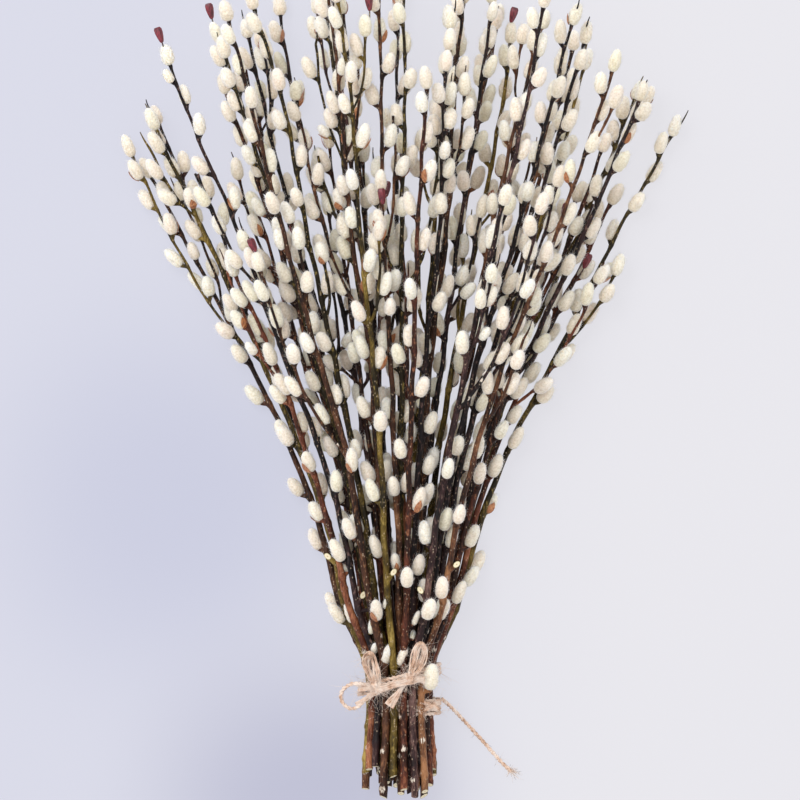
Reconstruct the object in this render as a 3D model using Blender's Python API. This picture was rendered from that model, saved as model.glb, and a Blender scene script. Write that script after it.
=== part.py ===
"""A bunch of cut pussy willow branches, tied with jute twine and laid down on a flat surface.

The cut ends point to -Y and the tips to +Y. The surface is at z = 0, and the origin lies on it, in the middle
of the bunch. Each branch is one solid: its stem, a side shoot where it has one, and its catkins.
"""

import math

import bpy
import numpy as np

SEED = 11

# The bunch, in metres. Heights are above the surface, and lengths along Y are from the tie.
TIE_X = -0.0016
TIE_Y = -0.2285
CORE_STEMS = 35
FRONT_STEMS = 10
FRONT_ANGLES = (62.0, 201.0)
TIE_ROUNDS = 900
STATION_ROUNDS = 120
PUSH = 0.52
SURFACE_GAP = 0.0001
CORE_X = 0.0045
CORE_HALF_WIDTH = 0.0238
CORE_HALF_HEIGHT = 0.0176
FAN_HALF_WIDTH = 0.210
FAN_HALF_HEIGHT = 0.068
LOWEST_STEM = 0.0095
LOWEST_DIP = 0.0035
LOWEST_RISE = 0.0020
DIP_FADES = 4.0
EVENING = 0.65
EVENED_WIDTH = 1.03
ROUNDNESS = 0.9
SWAY_GROWS = 1.6
REACH = 0.531
REACH_AT_SIDES = 0.122
REACH_CURVE = 2.0
FURTHEST_SIDE = 1.15
UNEVEN_TIPS = 0.016
SHORT_BRANCH_EVERY = 4
SHORT_BY = (0.02, 0.11)
SHORTEST_CUT = 0.058
LONGEST_CUT = 0.083
TIP_PAST_STATION = 0.025
STRAY_AT_FAN_LEVEL = (0.0100, 0.0050)
SWAY_BETWEEN_STATIONS = (0.0026, 0.0022)

# Stems
STEM_RADIUS = (0.0026, 0.0030)
TIP_RADIUS = (0.0010, 0.0013)
STEM_SIDES = 5
STEM_GAP = 0.0004
STATIONS = (0.021, 0.062, 0.112, 0.172, 0.250, 0.340, 0.440, 0.560)
FAN_SHARES = (0.0, 0.090, 0.160, 0.268, 0.450, 0.700, 0.960, 1.260)
ROOM = (0.0004, 0.0005, 0.0014, 0.0036, 0.0075, 0.0090, 0.0100, 0.0100)
SHOOT_EVERY = 3
SHOOT_STARTS = (0.10, 0.31)
SHOOT_LENGTHS = (0.10, 0.19)
SHOOT_OFFSET = 0.030
SHOOT_OFFSET_VARIES = (0.75, 1.25)
SHOOT_TURNS = 0.7
SHOOT_WAYS = 12
SHOOT_BEND = 3.2
SHOOT_SHARES = (0.0, 0.22, 0.55, 1.0)
SHOOT_THICKNESS = 0.55
HIGHEST_SHOOT = 0.62
SHOOT_LEVEL = 0.006
SHOOT_ROOM = 0.0045
STUB_LEVELS = {35: 0.092, 36: 0.070, 38: 0.083, 40: 0.066, 42: 0.098, 44: 0.088}
STUB_LENGTH = 0.0088
STUB_RADIUS = 0.0020
STUB_TAPER = 1.15
STUB_WAYS = 8
STUB_WAY = -70.0
STUB_LEAN = 0.9
STUB_FACES_UP = 0.3

# The largest catkin, which lies beside the upper band at the right: its branch, its level and its size
BAND_CATKIN_LEVEL = -0.0010
BAND_CATKIN_STEM = CORE_STEMS
BAND_CATKIN_WAY = 46.0
BAND_CATKIN_LENGTH = 0.0200
BAND_CATKIN_RADIUS = 0.0055
BAND_CATKIN_ABOVE_ROOT = 0.0005
BAND_CATKIN_STEP = 0.0005

# Catkins
CATKIN_LENGTH = (0.0150, 0.0185)
CATKIN_RADIUS = (0.0046, 0.0055)
CATKIN_SIDES = 5
CATKIN_RINGS = ((0.24, 0.94), (0.66, 0.98))
CATKIN_TOP_ROUND = 0.85
CATKIN_WAYS = 10
TIP_CATKIN_WAYS = 8
CLEAR_OF_SURFACE = 1.1
CATKIN_GAP = 0.0005
NECK_SHARE = 0.55
TURN_FROM_LAST = 137.5
TURN_VARIES = 0.4
LEAN = (0.06, 0.22)
FOOT_ABOVE_ROOT = 0.0022
FOOT_OFF_STEM = 0.0008
FOOT_OUT = 0.92
SMALLER_TRIES = (1.0, 0.86, 0.74)
TIP_SUNK = 0.0035
SPACING_AT_TIP = 0.0198
SPACING_GROWTH = 0.094
SPACING_VARIES = (0.85, 1.15)
HIGHEST_BELOW_TIP = (0.001, 0.006)
LOWEST_CATKIN = 0.030
LOWEST_ON_SHOOT = 0.012

# Numbers that tell what takes up space, apart from the stems' own numbers
SHOOT_OWNERS = 100
CATKIN_OWNERS = 1000
STUB_OWNER = 2000
TWINE_OWNER = 3000

# Twine
TWINE_RADIUS = 0.0015
TWINE_PITCH = 0.0032
TWINE_GAP = 0.0003
TURN_START = -100.0
FINE_STEPS = 180
LONGEST_TOUCH = 16
LOWER_TURNS = 4
LOWER_BAND_Y = -0.0205
UPPER_TURNS = 3
UPPER_BAND_Y = 0.0022
UPPER_BAND_TILT = 0.24
KNOT_HALF = (0.0052, 0.0048, 0.0031)
KNOT_SIDES = 6
KNOT_PLACES = ((-0.0177, 0.0028), (0.0075, 0.0095))
BOW_RUN_RADIUS = 0.0016
FRAYED_RADIUS = 0.0032
LAID_GAP = 0.0002
LAID_OVER = ((-0.0015, 0.0, 0.0015), (-0.002, 0.0, 0.002))
KNOT_OVER = (-0.003, 0.0, 0.003)
TAIL_STEP = 0.0065

# Routes of the bow's runs in mm from the tie: x, y and the least height. They lie on what is below them.
BOW_RUNS = {
    "between_knots": ((-17.0, 3.4, 0), (-9.5, 4.6, 0), (-2.0, 7.2, 0), (6.5, 9.3, 0)),
    "left_loop": (
        (-17.2, 4.0, 0), (-17.4, 11.0, 0), (-18.6, 18.0, 0), (-20.2, 24.0, 0), (-22.8, 26.8, 0),
        (-25.4, 23.6, 0), (-25.2, 17.4, 0), (-22.4, 10.0, 0), (-18.4, 3.4, 0),
    ),
    "right_loop": (
        (7.4, 10.4, 0), (9.2, 17.0, 0), (10.8, 25.0, 0), (12.8, 31.8, 0), (15.6, 34.4, 0),
        (18.2, 30.8, 0), (17.6, 24.0, 0), (14.2, 16.6, 0), (8.8, 9.8, 0),
    ),
    "ring_loop": (
        (-18.2, 3.2, 0), (-24.0, 3.2, 0), (-30.0, 4.4, 46), (-36.5, 4.2, 43), (-42.4, 0.4, 40),
        (-44.6, -5.6, 38), (-42.2, -11.4, 37), (-36.6, -14.6, 37), (-31.0, -12.6, 39), (-26.5, -7.6, 42),
        (-22.0, -2.6, 0), (-18.6, 1.6, 0),
    ),
    "short_end": ((7.0, 8.8, 0), (3.0, 4.2, 0), (-1.0, -1.6, 0), (-5.0, -7.2, 0), (-8.4, -12.0, 0)),
}
TAIL_ROUTE = (
    (31.6, -8.0, 28.0), (33.2, -9.3, 24.0), (35.4, -11.4, 19.6), (38.2, -14.2, 15.2), (41.6, -17.8, 11.2),
    (45.4, -21.9, 7.8), (49.4, -26.3, 5.0), (53.4, -30.7, 3.0), (57.4, -35.1, 2.0), (61.4, -39.4, 1.7),
    (65.3, -43.8, 1.6), (69.2, -48.2, 1.6), (73.1, -52.6, 1.6), (77.0, -56.9, 1.6), (80.8, -60.7, 1.6),
    (84.4, -63.8, 1.6),
)

BARKS = {
    "dark_purple_bark": ((0.035, 0.016, 0.018), 0.45),
    "red_brown_bark": ((0.110, 0.040, 0.026), 0.45),
    "olive_bark": ((0.105, 0.075, 0.030), 0.50),
    "brown_bark": ((0.070, 0.036, 0.022), 0.50),
}
FUR = ("catkin_fur", (0.72, 0.66, 0.55), 0.9)
JUTE = ("jute_twine", (0.58, 0.43, 0.28), 0.85)


def draws(*key):
    """Random draws of their own for one thing, so that no thing's draws depend on another's."""
    return np.random.default_rng((SEED, *key))


def unit(vector):
    return vector / np.linalg.norm(vector)


def push_apart(places, radii, room, rounds):
    """Moves circles until none lies nearer to another than room."""
    need = radii[:, None] + radii[None] + room
    for _ in range(rounds):
        between = places[:, None] - places[None]
        apart = np.linalg.norm(between, axis=2)
        np.fill_diagonal(apart, 1.0)
        short = np.clip(need - apart, 0.0, None)
        np.fill_diagonal(short, 0.0)
        places = places + PUSH * (between * (short / apart)[..., None]).sum(axis=1)
        yield places


def tied_places():
    """Where each stem stands in the tie, as x and z, and its radius. The front stems come last."""
    draw = draws(1)
    radii = draw.uniform(*STEM_RADIUS, CORE_STEMS + FRONT_STEMS)
    core_radii = radii[:CORE_STEMS]
    number = np.arange(CORE_STEMS)
    turn = number * math.pi * (3.0 - math.sqrt(5.0))
    out = np.sqrt((number + 0.5) / CORE_STEMS)
    half = np.array((CORE_HALF_WIDTH, CORE_HALF_HEIGHT))
    core = np.stack((np.cos(turn), np.sin(turn)), axis=1) * out[:, None] * half * ROUNDNESS
    for core in push_apart(core, core_radii, STEM_GAP, TIE_ROUNDS):
        limit = half[None] - core_radii[:, None]
        past = np.linalg.norm(core / limit, axis=1)
        core /= np.maximum(past, 1.0)[:, None]
    twine = 2.0 * TWINE_RADIUS + 3.0 * TWINE_GAP
    level = half[1] + 2.0 * TWINE_RADIUS + SURFACE_GAP
    core += (CORE_X, level)
    angles = np.radians(np.linspace(*FRONT_ANGLES, FRONT_STEMS))
    front_radii = radii[CORE_STEMS:]
    ring = half[None] + twine + front_radii[:, None]
    front = np.stack((np.cos(angles), np.sin(angles)), axis=1) * ring + (CORE_X, level)
    return np.concatenate((core, front)), radii


def evened(across):
    """Shares the stems out more evenly to both sides, in the same order, as a round bunch would spread."""
    order = np.argsort(np.argsort(across))
    grid = np.linspace(-1.0, 1.0, 201)
    filled = np.cumsum(np.sqrt(1.0 - grid**2))
    ideal = np.interp((order + 0.5) / len(across), filled / filled[-1], grid)
    return np.clip((1.0 - EVENING) * across + EVENING * ideal * EVENED_WIDTH, -1.0, 1.0)


def fanned_places(tied, radii):
    """The stems' places at each station. They open sideways and up, and the lowest lie along the surface."""
    draw = draws(2)
    centre = (tied.max(axis=0) + tied.min(axis=0)) / 2.0
    half = (tied.max(axis=0) - tied.min(axis=0)) / 2.0
    across, up = ((tied - centre) / half).T
    across = evened(across)
    level = np.clip(up + ROUNDNESS * np.sqrt(1.0 - across**2), 0.0, None)
    ends = np.stack((FAN_HALF_WIDTH * across, LOWEST_STEM + FAN_HALF_HEIGHT * level - tied[:, 1]), axis=1)
    ends += draw.normal(0.0, STRAY_AT_FAN_LEVEL, ends.shape)
    sway = draw.normal(0.0, SWAY_BETWEEN_STATIONS, (len(STATIONS), *ends.shape))
    stations = [tied]
    for number in range(1, len(STATIONS)):
        share = FAN_SHARES[number]
        places = tied + ends * share + sway[number] * min(1.0, SWAY_GROWS * share)
        for places in push_apart(places, radii, ROOM[number], STATION_ROUNDS):
            floor = LOWEST_STEM - LOWEST_DIP * (1.0 - min(1.0, DIP_FADES * share))
            places[:, 1] = np.maximum(places[:, 1], np.minimum(floor, tied[:, 1] + LOWEST_RISE * number))
        stations.append(places)
    return stations


class Limb:
    """One run of wood: its points, its radii and its length up to each point."""

    def __init__(self, points, radii):
        self.points = np.array(points, dtype=float)
        self.radii = np.array(radii, dtype=float)
        steps = np.linalg.norm(np.diff(self.points, axis=0), axis=1)
        self.reach = np.concatenate(((0.0,), np.cumsum(steps)))

    def at(self, length):
        """The point, direction and radius this far along."""
        piece = int(np.clip(np.searchsorted(self.reach, length) - 1, 0, len(self.reach) - 2))
        share = (length - self.reach[piece]) / (self.reach[piece + 1] - self.reach[piece])
        step = self.points[piece + 1] - self.points[piece]
        radius = self.radii[piece] + share * (self.radii[piece + 1] - self.radii[piece])
        return self.points[piece] + share * step, unit(step), radius


class Taken:
    """The space already taken, as round-ended rods, so that nothing new is put through it."""

    def __init__(self):
        self.starts = np.zeros((0, 3))
        self.ends = np.zeros((0, 3))
        self.radii = np.zeros(0)
        self.owners = np.zeros(0, dtype=int)

    def add(self, starts, ends, radii, owner):
        self.starts = np.concatenate((self.starts, np.atleast_2d(starts)))
        self.ends = np.concatenate((self.ends, np.atleast_2d(ends)))
        self.radii = np.concatenate((self.radii, np.atleast_1d(radii)))
        self.owners = np.concatenate((self.owners, np.full(len(np.atleast_1d(radii)), owner)))

    def room(self, start, end, radius, spared):
        """The least gap between a new rod and those taken, leaving out the owners that are spared."""
        kept = ~np.isin(self.owners, spared)
        run, runs = end - start, (self.ends - self.starts)[kept]
        between = start - self.starts[kept]
        square, squares = run @ run, (runs * runs).sum(axis=1)
        cross, far = runs @ run, (runs * between).sum(axis=1)
        near = between @ run
        spread = square * squares - cross**2
        along = np.where(spread > 1e-16, (cross * far - near * squares) / np.maximum(spread, 1e-16), 0.0)
        other = np.clip((cross * np.clip(along, 0.0, 1.0) + far) / squares, 0.0, 1.0)
        along = np.clip((cross * other - near) / square, 0.0, 1.0)
        gaps = np.linalg.norm(between + along[:, None] * run - other[:, None] * runs, axis=1)
        return float((gaps - self.radii[kept]).min() - radius)


def main_stems(tied, radii, stations):
    """One limb for each branch, from its cut end to its tip."""
    limbs = []
    levels = np.array(STATIONS)
    for number, (place, radius) in enumerate(zip(tied, radii)):
        draw = draws(3, number)
        side = min(FURTHEST_SIDE, abs(stations[-2][number][0]) / (FAN_HALF_WIDTH + CORE_HALF_WIDTH))
        tip = REACH - REACH_AT_SIDES * side**REACH_CURVE - abs(draw.normal(0.0, UNEVEN_TIPS))
        if number % SHORT_BRANCH_EVERY == 1:
            tip -= draw.uniform(*SHORT_BY)
        cut = -draw.uniform(SHORTEST_CUT, LONGEST_CUT)
        points = [(place[0], cut, place[1])]
        for level, at_station in zip(levels, stations):
            if level < tip - TIP_PAST_STATION:
                points.append((at_station[number][0], level, at_station[number][1]))
        x = np.interp(tip, levels, [s[number][0] for s in stations])
        z = np.interp(tip, levels, [s[number][1] for s in stations])
        points.append((x, tip, z))
        end = draw.uniform(*TIP_RADIUS)
        shares = [max(0.0, p[1]) / tip for p in points]
        limbs.append(Limb(points, [radius + (end - radius) * share for share in shares]))
    return limbs


def side_ways(direction, first, count):
    """Directions square to a stem, evenly spaced round it, the nearest to the first before the others."""
    flat = unit(np.cross(direction, (0.0, 0.0, 1.0)))
    high = np.cross(flat, direction)
    for number in range(count):
        angle = first + (-1) ** number * 2.0 * math.pi * ((number + 1) // 2) / count
        yield math.cos(angle) * flat + math.sin(angle) * high


def shoot_from(limb, number, taken):
    """A side shoot that leaves its stem at a node and bends up beside it, or None where there is no room."""
    draw = draws(4, number)
    start, length = draw.uniform(*SHOOT_STARTS), draw.uniform(*SHOOT_LENGTHS)
    foot, direction, radius = limb.at(min(start + LONGEST_CUT, HIGHEST_SHOOT * limb.reach[-1]))
    outward = math.pi if foot[0] < 0.0 else 0.0
    offset = SHOOT_OFFSET * draw.uniform(*SHOOT_OFFSET_VARIES)
    for sideways in side_ways(direction, outward + draw.uniform(-SHOOT_TURNS, SHOOT_TURNS), SHOOT_WAYS):
        points = [
            foot + direction * length * share + sideways * offset * (1.0 - math.exp(-SHOOT_BEND * share))
            for share in SHOOT_SHARES
        ]
        base = SHOOT_THICKNESS * radius
        shoot = Limb(points, [base + (TIP_RADIUS[0] - base) * share for share in SHOOT_SHARES])
        low = min(p[2] for p in points)
        rods = list(zip(shoot.points[:-1], shoot.points[1:], shoot.radii))
        room = min(taken.room(a, b, r, (number,)) for a, b, r in rods)
        if low > SHOOT_LEVEL and room > SHOOT_ROOM:
            return shoot
    return None


def catkin_levels(limb, number, lowest):
    """Lengths along a limb at which catkins grow, from the tip down: close near the tip, wider below."""
    draw = draws(5, number)
    at = limb.reach[-1] - draw.uniform(*HIGHEST_BELOW_TIP)
    levels = []
    while at > lowest:
        levels.append(at)
        below_tip = limb.reach[-1] - at
        at -= (SPACING_AT_TIP + SPACING_GROWTH * below_tip) * draw.uniform(*SPACING_VARIES)
    return levels


class Catkin:
    """One catkin: the point where it grows from its stem, its foot, the way it points and its size."""

    def __init__(self, root, foot, axis, length, radius):
        self.root, self.foot, self.axis = root, foot, axis
        self.length, self.radius = length, radius

    def core(self):
        """The two ends of the round-ended rod that its body fills."""
        low = self.foot + self.axis * CATKIN_RINGS[0][0] * self.length
        return low, self.foot + self.axis * (self.length - CATKIN_TOP_ROUND * self.radius)

    def fits(self, taken, owner):
        """Whether it is clear of the surface and of everything but its own stem."""
        low, high = self.core()
        if min(low[2], high[2]) < CLEAR_OF_SURFACE * self.radius:
            return False
        body = taken.room(low, high, self.radius, (owner,))
        neck = taken.room(self.root, low, NECK_SHARE * self.radius, (owner,))
        return min(body, neck) > CATKIN_GAP

    def take(self, taken, owner):
        taken.add(*self.core(), self.radius, owner)


def tip_catkin(limb, key, taken, owner):
    """The catkin that ends a limb, in line with it, or None where there is no room."""
    draw = draws(6, *key)
    root, direction, _ = limb.at(limb.reach[-1] - TIP_SUNK)
    length, width = draw.uniform(*CATKIN_LENGTH), draw.uniform(*CATKIN_RADIUS)
    for sideways in side_ways(direction, draw.uniform(0.0, 2.0 * math.pi), TIP_CATKIN_WAYS):
        axis = unit(direction + draw.uniform(*LEAN) * sideways)
        made = Catkin(root, root, axis, length, width)
        if made.fits(taken, owner):
            return made
    return None


def catkin_on(limb, level, key, taken, owner):
    """A catkin at this level of a limb, turned or made smaller until it has room, or None."""
    draw = draws(6, *key)
    root, direction, radius = limb.at(level)
    turn = key[1] * math.radians(TURN_FROM_LAST) + draw.uniform(-TURN_VARIES, TURN_VARIES)
    length, width = draw.uniform(*CATKIN_LENGTH), draw.uniform(*CATKIN_RADIUS)
    lean = draw.uniform(*LEAN)
    for scale in SMALLER_TRIES:
        for sideways in side_ways(direction, turn, CATKIN_WAYS):
            size = scale * width
            foot = root + sideways * (radius + size * FOOT_OUT + FOOT_OFF_STEM) + direction * FOOT_ABOVE_ROOT
            made = Catkin(root, foot, unit(direction + lean * sideways), scale * length, size)
            if made.fits(taken, owner):
                return made
    return None


def band_catkin(stem, taken):
    """The largest catkin, moved out from its stem until it lies on the band."""
    root, direction, _ = stem.at(BAND_CATKIN_LEVEL - stem.points[0][1])
    outward = math.radians(BAND_CATKIN_WAY)
    sideways = np.array((math.cos(outward), 0.0, math.sin(outward)))
    foot = root + direction * BAND_CATKIN_ABOVE_ROOT
    made = Catkin(root, foot, direction, BAND_CATKIN_LENGTH, BAND_CATKIN_RADIUS)
    while taken.room(*made.core(), made.radius, ()) < CATKIN_GAP:
        made.foot = made.foot + sideways * BAND_CATKIN_STEP
    made.take(taken, CATKIN_OWNERS + BAND_CATKIN_STEM)
    return made


def stub_on(limb, number, taken):
    """The short stub of a side shoot that was cut off, in a list that stays empty where there is no room."""
    root, direction, _ = limb.at(STUB_LEVELS[number] - limb.points[0][1])
    for sideways in side_ways(direction, math.radians(STUB_WAY), STUB_WAYS):
        tip = root + STUB_LENGTH * unit(direction + STUB_LEAN * sideways)
        if sideways[2] > STUB_FACES_UP and taken.room(root, tip, STUB_RADIUS, (number,)) > CATKIN_GAP:
            taken.add(root, tip, STUB_RADIUS, STUB_OWNER)
            return [tube_mesh("stub", (root, tip), (STUB_RADIUS * STUB_TAPER, STUB_RADIUS), STEM_SIDES)]
    return []


def touching_steps(touched):
    """Fine steps of a turn where the twine's middle gets a point, about one for each stem that it touches."""
    starts = np.flatnonzero(touched != np.roll(touched, 1))
    steps = []
    for first, after in zip(starts, np.append(starts[1:], starts[0] + FINE_STEPS)):
        pieces = max(1, round((after - first) / LONGEST_TOUCH))
        steps += [(first + (after - first) * (piece + 0.5) / pieces) % FINE_STEPS for piece in range(pieces)]
    return sorted(int(step) for step in steps)


def wound(tied, radii, turns, first_y, tilt):
    """The middle of twine wound tightly round some stems, turn beside turn."""
    angles = np.radians(TURN_START) - 2.0 * math.pi * np.arange(FINE_STEPS) / FINE_STEPS
    ways = np.stack((np.cos(angles), np.sin(angles)), axis=1)
    touched = np.argmax(ways @ tied.T + radii, axis=1)
    steps = [step + FINE_STEPS * turn for turn in range(turns) for step in touching_steps(touched)]
    points = []
    for step in steps:
        stem, way = touched[step % FINE_STEPS], ways[step % FINE_STEPS]
        x, z = tied[stem] + way * (radii[stem] + TWINE_GAP + TWINE_RADIUS)
        points.append((x, first_y + TWINE_PITCH * step / FINE_STEPS + tilt * x, z))
    return np.array(points)


def tube_mesh(name, points, radii, sides, material_index=0):
    """A closed tube along points, with a flat end at each side."""
    points = np.array(points, dtype=float)
    radii = np.broadcast_to(radii, len(points))
    ways = np.gradient(points, axis=0)
    across = np.cross(unit(ways[0]), (0.0, 0.0, 1.0) if abs(unit(ways[0])[2]) < 0.9 else (1.0, 0.0, 0.0))
    verts, faces = [], []
    for point, way, radius in zip(points, ways, radii):
        way = unit(way)
        across = unit(across - way * (across @ way))
        other = np.cross(way, across)
        for side in range(sides):
            angle = 2.0 * math.pi * side / sides
            verts.append(point + radius * (math.cos(angle) * across + math.sin(angle) * other))
    rings = len(points)
    for ring in range(rings - 1):
        for side in range(sides):
            after = (side + 1) % sides
            a, b = ring * sides + side, ring * sides + after
            faces.append((a, b, b + sides, a + sides))
    faces.append(tuple(reversed(range(sides))))
    faces.append(tuple(range((rings - 1) * sides, rings * sides)))
    mesh = bpy.data.meshes.new(name)
    mesh.from_pydata([tuple(v) for v in verts], [], faces)
    mesh.polygons.foreach_set("material_index", [material_index] * len(faces))
    mesh.update()
    return mesh


def catkin_mesh(name, catkin):
    """A catkin as two rings between its root, sunk in the stem, and its top."""
    axis = catkin.axis
    across = unit(np.cross(axis, (0.3, 0.1, 1.0)))
    other = np.cross(axis, across)
    verts = [catkin.root]
    for share, width in CATKIN_RINGS:
        for side in range(CATKIN_SIDES):
            angle = 2.0 * math.pi * side / CATKIN_SIDES
            out = math.cos(angle) * across + math.sin(angle) * other
            verts.append(catkin.foot + axis * share * catkin.length + out * width * catkin.radius)
    verts.append(catkin.foot + axis * catkin.length)
    faces, top = [], len(verts) - 1
    for side in range(CATKIN_SIDES):
        after = (side + 1) % CATKIN_SIDES
        a, b = 1 + side, 1 + after
        c, d = a + CATKIN_SIDES, b + CATKIN_SIDES
        faces += [(0, b, a), (a, b, d, c), (c, d, top)]
    mesh = bpy.data.meshes.new(name)
    mesh.from_pydata([tuple(v) for v in verts], [], faces)
    mesh.polygons.foreach_set("material_index", [1] * len(faces))
    mesh.update()
    return mesh


def principled(name, colour, roughness):
    """A plain material."""
    material = bpy.data.materials.new(name)
    material.use_nodes = True
    shader = material.node_tree.nodes["Principled BSDF"]
    shader.inputs["Base Color"].default_value = (*colour, 1.0)
    shader.inputs["Roughness"].default_value = roughness
    shader.inputs["Metallic"].default_value = 0.0
    return material


def placed(name, mesh, materials, collection=None):
    """An object of this mesh, at the tie."""
    thing = bpy.data.objects.new(name, mesh)
    for material in materials:
        mesh.materials.append(material)
    (collection or bpy.context.scene.collection).objects.link(thing)
    thing.location = (TIE_X, TIE_Y, 0.0)
    return thing


def joined(name, body, growths, materials):
    """One solid from a body and what grows from it, by one Boolean union."""
    node = placed(name, body, materials)
    grown = bpy.data.collections.new(name + "_growths")
    bpy.context.scene.collection.children.link(grown)
    for mesh in growths:
        placed(mesh.name, mesh, materials, grown)
    union = node.modifiers.new("Union", "BOOLEAN")
    union.operation = "UNION"
    union.operand_type = "COLLECTION"
    union.collection = grown
    union.solver = "EXACT"
    bpy.context.view_layer.update()
    found = node.evaluated_get(bpy.context.evaluated_depsgraph_get())
    result = bpy.data.meshes.new_from_object(found)
    node.modifiers.clear()
    node.data = result
    for thing in list(grown.objects):
        bpy.data.objects.remove(thing)
    bpy.data.collections.remove(grown)
    result.shade_smooth()
    result.set_sharp_from_angle(angle=math.radians(60.0))
    return node


def rest_height(x, y, limbs, bands):
    """How high the middle of the twine lies at a place, on the stems and on the bands below it."""
    best = 0.0
    for limb in limbs:
        across, level = (np.interp(y, limb.points[:, 1], limb.points[:, axis]) for axis in (0, 2))
        lift = np.interp(y, limb.points[:, 1], limb.radii) + TWINE_RADIUS + TWINE_GAP
        if abs(x - across) < lift:
            best = max(best, level + math.sqrt(lift**2 - (x - across) ** 2))
    lift = 2.0 * TWINE_RADIUS + TWINE_GAP
    for band in bands:
        for a, b in zip(band[:-1], band[1:]):
            run = (b - a)[:2]
            share = np.clip(((x, y) - a[:2]) @ run / (run @ run), 0.0, 1.0)
            near = a + share * (b - a)
            aside = math.hypot(x - near[0], y - near[1])
            if aside < lift:
                best = max(best, near[2] + math.sqrt(lift**2 - aside**2))
    return best


def laid(route, limbs, bands):
    """A run of twine over the stems and bands: a route in mm of x, y and the least height, lifted clear."""
    points = []
    for x, y, least in np.array(route) * 0.001:
        nearby = [(x + dx, y + dy) for dx in LAID_OVER[0] for dy in LAID_OVER[1]]
        height = max(rest_height(*place, limbs, bands) for place in nearby)
        points.append((x, y, max(least, height + LAID_GAP)))
    return smoothed(np.array(points), 1)


def smoothed(points, parts):
    """Points on a smooth curve through the given ones, with so many parts between each two."""
    count = len(points)
    found = []
    for number in range(count - 1):
        a, b = points[max(number - 1, 0)], points[number]
        c, d = points[number + 1], points[min(number + 2, count - 1)]
        for part in range(parts):
            t = part / parts
            bend = 2.0 * a - 5.0 * b + 4.0 * c - d
            twist = 3.0 * b - a - 3.0 * c + d
            found.append(b + 0.5 * (t * (c - a) + t * t * bend + t**3 * twist))
    return np.array(found + [points[-1]])


def spaced(points, step):
    """Points at about this distance from each other along a run of close points."""
    reach = np.concatenate(((0.0,), np.cumsum(np.linalg.norm(np.diff(points, axis=0), axis=1))))
    levels = np.linspace(0.0, reach[-1], 1 + round(reach[-1] / step))
    return np.stack([np.interp(levels, reach, points[:, axis]) for axis in range(3)], axis=1)


def lump_mesh(name, centre, half):
    """A knot as a squashed ball."""
    verts, faces = [centre - (0.0, half[1], 0.0)], []
    for lift, width in ((-0.62, 0.80), (0.0, 1.06), (0.62, 0.80)):
        for side in range(KNOT_SIDES):
            angle = 2.0 * math.pi * (side + 0.5) / KNOT_SIDES
            across, up = math.cos(angle) * width, math.sin(angle) * width
            verts.append(centre + np.array((across, lift, up)) * half)
    verts.append(centre + (0.0, half[1], 0.0))
    top = len(verts) - 1
    for side in range(KNOT_SIDES):
        after = (side + 1) % KNOT_SIDES
        faces.append((0, 1 + side, 1 + after))
        faces.append((top, 1 + 2 * KNOT_SIDES + after, 1 + 2 * KNOT_SIDES + side))
        for ring in (1, 1 + KNOT_SIDES):
            above = ring + KNOT_SIDES
            faces.append((ring + side, above + side, above + after, ring + after))
    mesh = bpy.data.meshes.new(name)
    mesh.from_pydata([tuple(v) for v in verts], [], faces)
    mesh.update()
    return mesh


def add_bow(limbs, bands, jute):
    """The two knots, the run between them, the two bow loops, the ring loop and the short frayed end."""
    knots = []
    for x, y in KNOT_PLACES:
        nearby = [(x + dx, y + dy) for dx in KNOT_OVER for dy in KNOT_OVER]
        height = max(rest_height(*place, limbs, bands) for place in nearby)
        knots.append(np.array((x, y, height - TWINE_RADIUS + KNOT_HALF[2])))
    meshes = [lump_mesh("knot", knot, KNOT_HALF) for knot in knots[1:]]
    for name, route in BOW_RUNS.items():
        points = laid(route, limbs, bands)
        width = np.full(len(points), BOW_RUN_RADIUS)
        if name == "short_end":
            width = np.linspace(TWINE_RADIUS, FRAYED_RADIUS, len(points))
            points[:, 2] += width - TWINE_RADIUS
        meshes.append(tube_mesh(name, points, width, STEM_SIDES))
    joined("twine_bow", lump_mesh("knot", knots[0], KNOT_HALF), meshes, (jute,))


def add_tail(jute):
    """The long free end, a curve with a round bevel along the smooth curve through its route."""
    points = spaced(smoothed(np.array(TAIL_ROUTE) * 0.001, 8), TAIL_STEP)
    curve = bpy.data.curves.new("twine_tail", "CURVE")
    curve.dimensions = "3D"
    curve.bevel_depth = TWINE_RADIUS
    curve.bevel_resolution = 2
    curve.use_fill_caps = True
    run = curve.splines.new("POLY")
    run.points.add(len(points) - 1)
    for spot, point in zip(run.points, points):
        spot.co = (*point, 1.0)
    placed("twine_tail", curve, (jute,))


def grown_on(run, owner, lowest, taken):
    """The catkins of one run of wood: every second place that a real branch would fill."""
    made = []
    for index, level in enumerate(catkin_levels(run, owner, lowest)):
        if index % 2 == 0:
            key = (owner, index)
            catkin = catkin_on(run, level, key, taken, owner) if index else tip_catkin(run, key, taken, owner)
            if catkin:
                catkin.take(taken, CATKIN_OWNERS + owner)
                made.append(catkin_mesh("catkin", catkin))
    return made


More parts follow.
